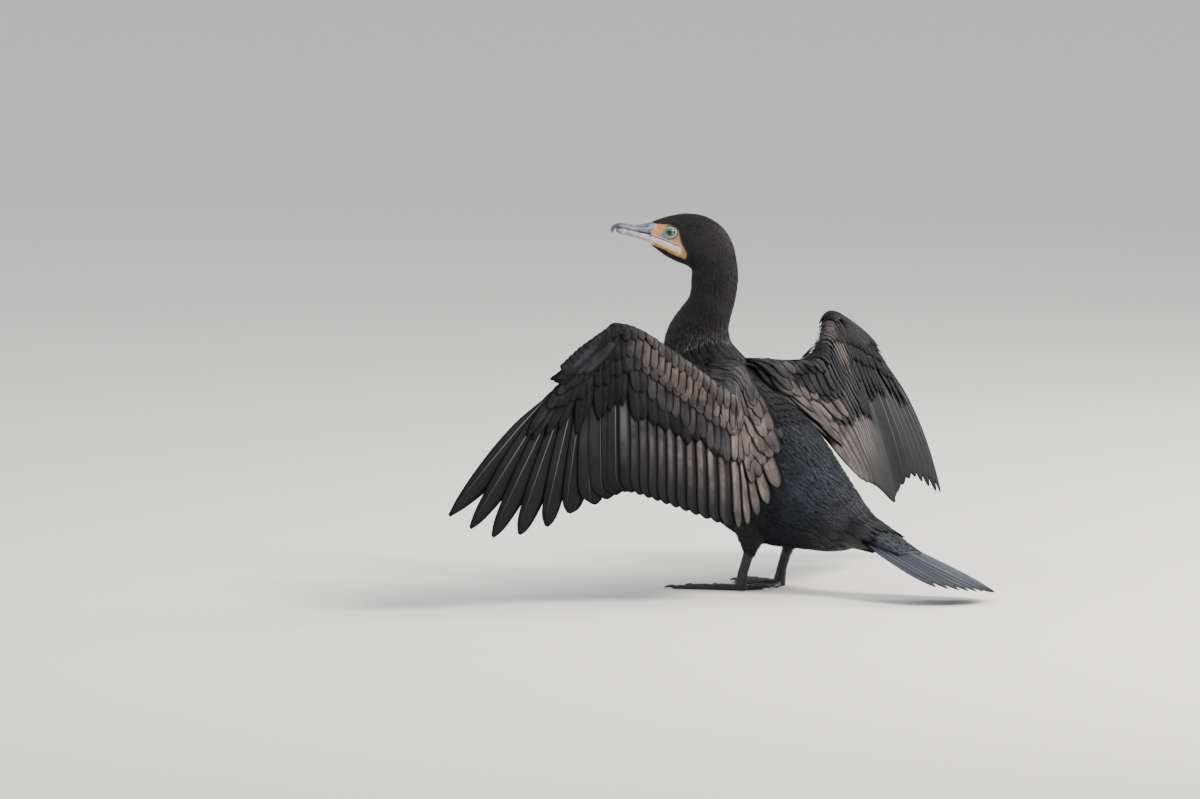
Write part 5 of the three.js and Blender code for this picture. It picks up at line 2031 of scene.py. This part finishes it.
footSkin, clawHorn = footMaterial("foot_skin"), clawMaterial("claw_horn")
for legName, side in (("left", -1), ("right", 1)):
    finishPiece(bareLeg(legName, side), footSkin, "leg_skin", f"leg_{legName}", f"foot_{legName}")
    for toeName, angle, length, _ in foot["toes"]:
        made = claw(f"claw_horn_{legName}_{toeName}", side, angle, length)
        finishPiece(made, clawHorn, "claw", f"claw_{legName}_{toeName}")
print("legs done")


# Floor, lights and camera

floor = {"size": 60, "colour": srgb(232, 230, 225)}
bpy.ops.mesh.primitive_plane_add(size=floor["size"], location=(0, 0, 0))
ground = bpy.context.object
ground.name = "floor"
groundShader = Shader("pale_floor")
groundShader.set(Base_Color=(*floor["colour"], 1), Roughness=0.85)
ground.data.materials.append(groundShader.material)

studio = {"colour": (0.93, 0.96, 1, 1), "strength": 0.8}
world = bpy.data.worlds.new("studio")
bpy.context.scene.world = world
world.use_nodes = True
background = world.node_tree.nodes["Background"]
background.inputs["Color"].default_value = studio["colour"]
background.inputs["Strength"].default_value = studio["strength"]

# The camera looks from behind the bird and from its left, as the photograph does. Lengths are in metres.
view = {
    "right": Vector((0.616, -0.788, 0)),
    "back": Vector((-0.785, -0.613, 0.087)).normalized(),
    "distance": 16,
    "widthAtBird": 1.0909,
    "sensor": 36,
    "aimRight": -0.1473,
    "aimUp": 0.1714,
    "clipEnd": 100,
    "birdMiddle": 0.17,
}
lights = [
    # name, direction from the bird, distance, size, watts, colour
    ["key", (0.1, -0.75, 0.7), 2.4, 0.9, 95, (1, 0.96, 0.9)],
    ["fill", (-0.95, -0.1, 0.3), 3, 2.6, 16, (0.92, 0.96, 1)],
    ["rim", (0.85, -0.2, 0.5), 2.6, 1.0, 60, (1, 0.98, 0.95)],
    ["top", (-0.3, 0.5, 0.85), 2.8, 2, 18, (0.95, 0.97, 1)],
]
up = view["back"].cross(view["right"]).normalized()
origin = Vector(toFrame)
middle = origin + Vector((0, 0, view["birdMiddle"]))
for name, way, distance, size, watts, colour in lights:
    lamp = bpy.data.lights.new(name, "AREA")
    lamp.size = size
    lamp.energy = watts
    lamp.color = colour
    holder = bpy.data.objects.new(name, lamp)
    bpy.context.scene.collection.objects.link(holder)
    direction = Vector(way).normalized()
    holder.location = middle + direction * distance
    holder.rotation_euler = direction.to_track_quat("Z", "Y").to_euler()

camera = bpy.data.objects.new("camera", bpy.data.cameras.new("camera"))
bpy.context.scene.collection.objects.link(camera)
camera.data.sensor_width = view["sensor"]
camera.data.lens = view["sensor"] * view["distance"] / view["widthAtBird"]
camera.data.clip_end = view["clipEnd"]
aim = origin + view["right"] * view["aimRight"] + up * view["aimUp"]
camera.location = aim + view["back"] * view["distance"]
camera.rotation_euler = view["back"].to_track_quat("Z", "Y").to_euler()
bpy.context.scene.camera = camera
print("floor, lights and camera done")
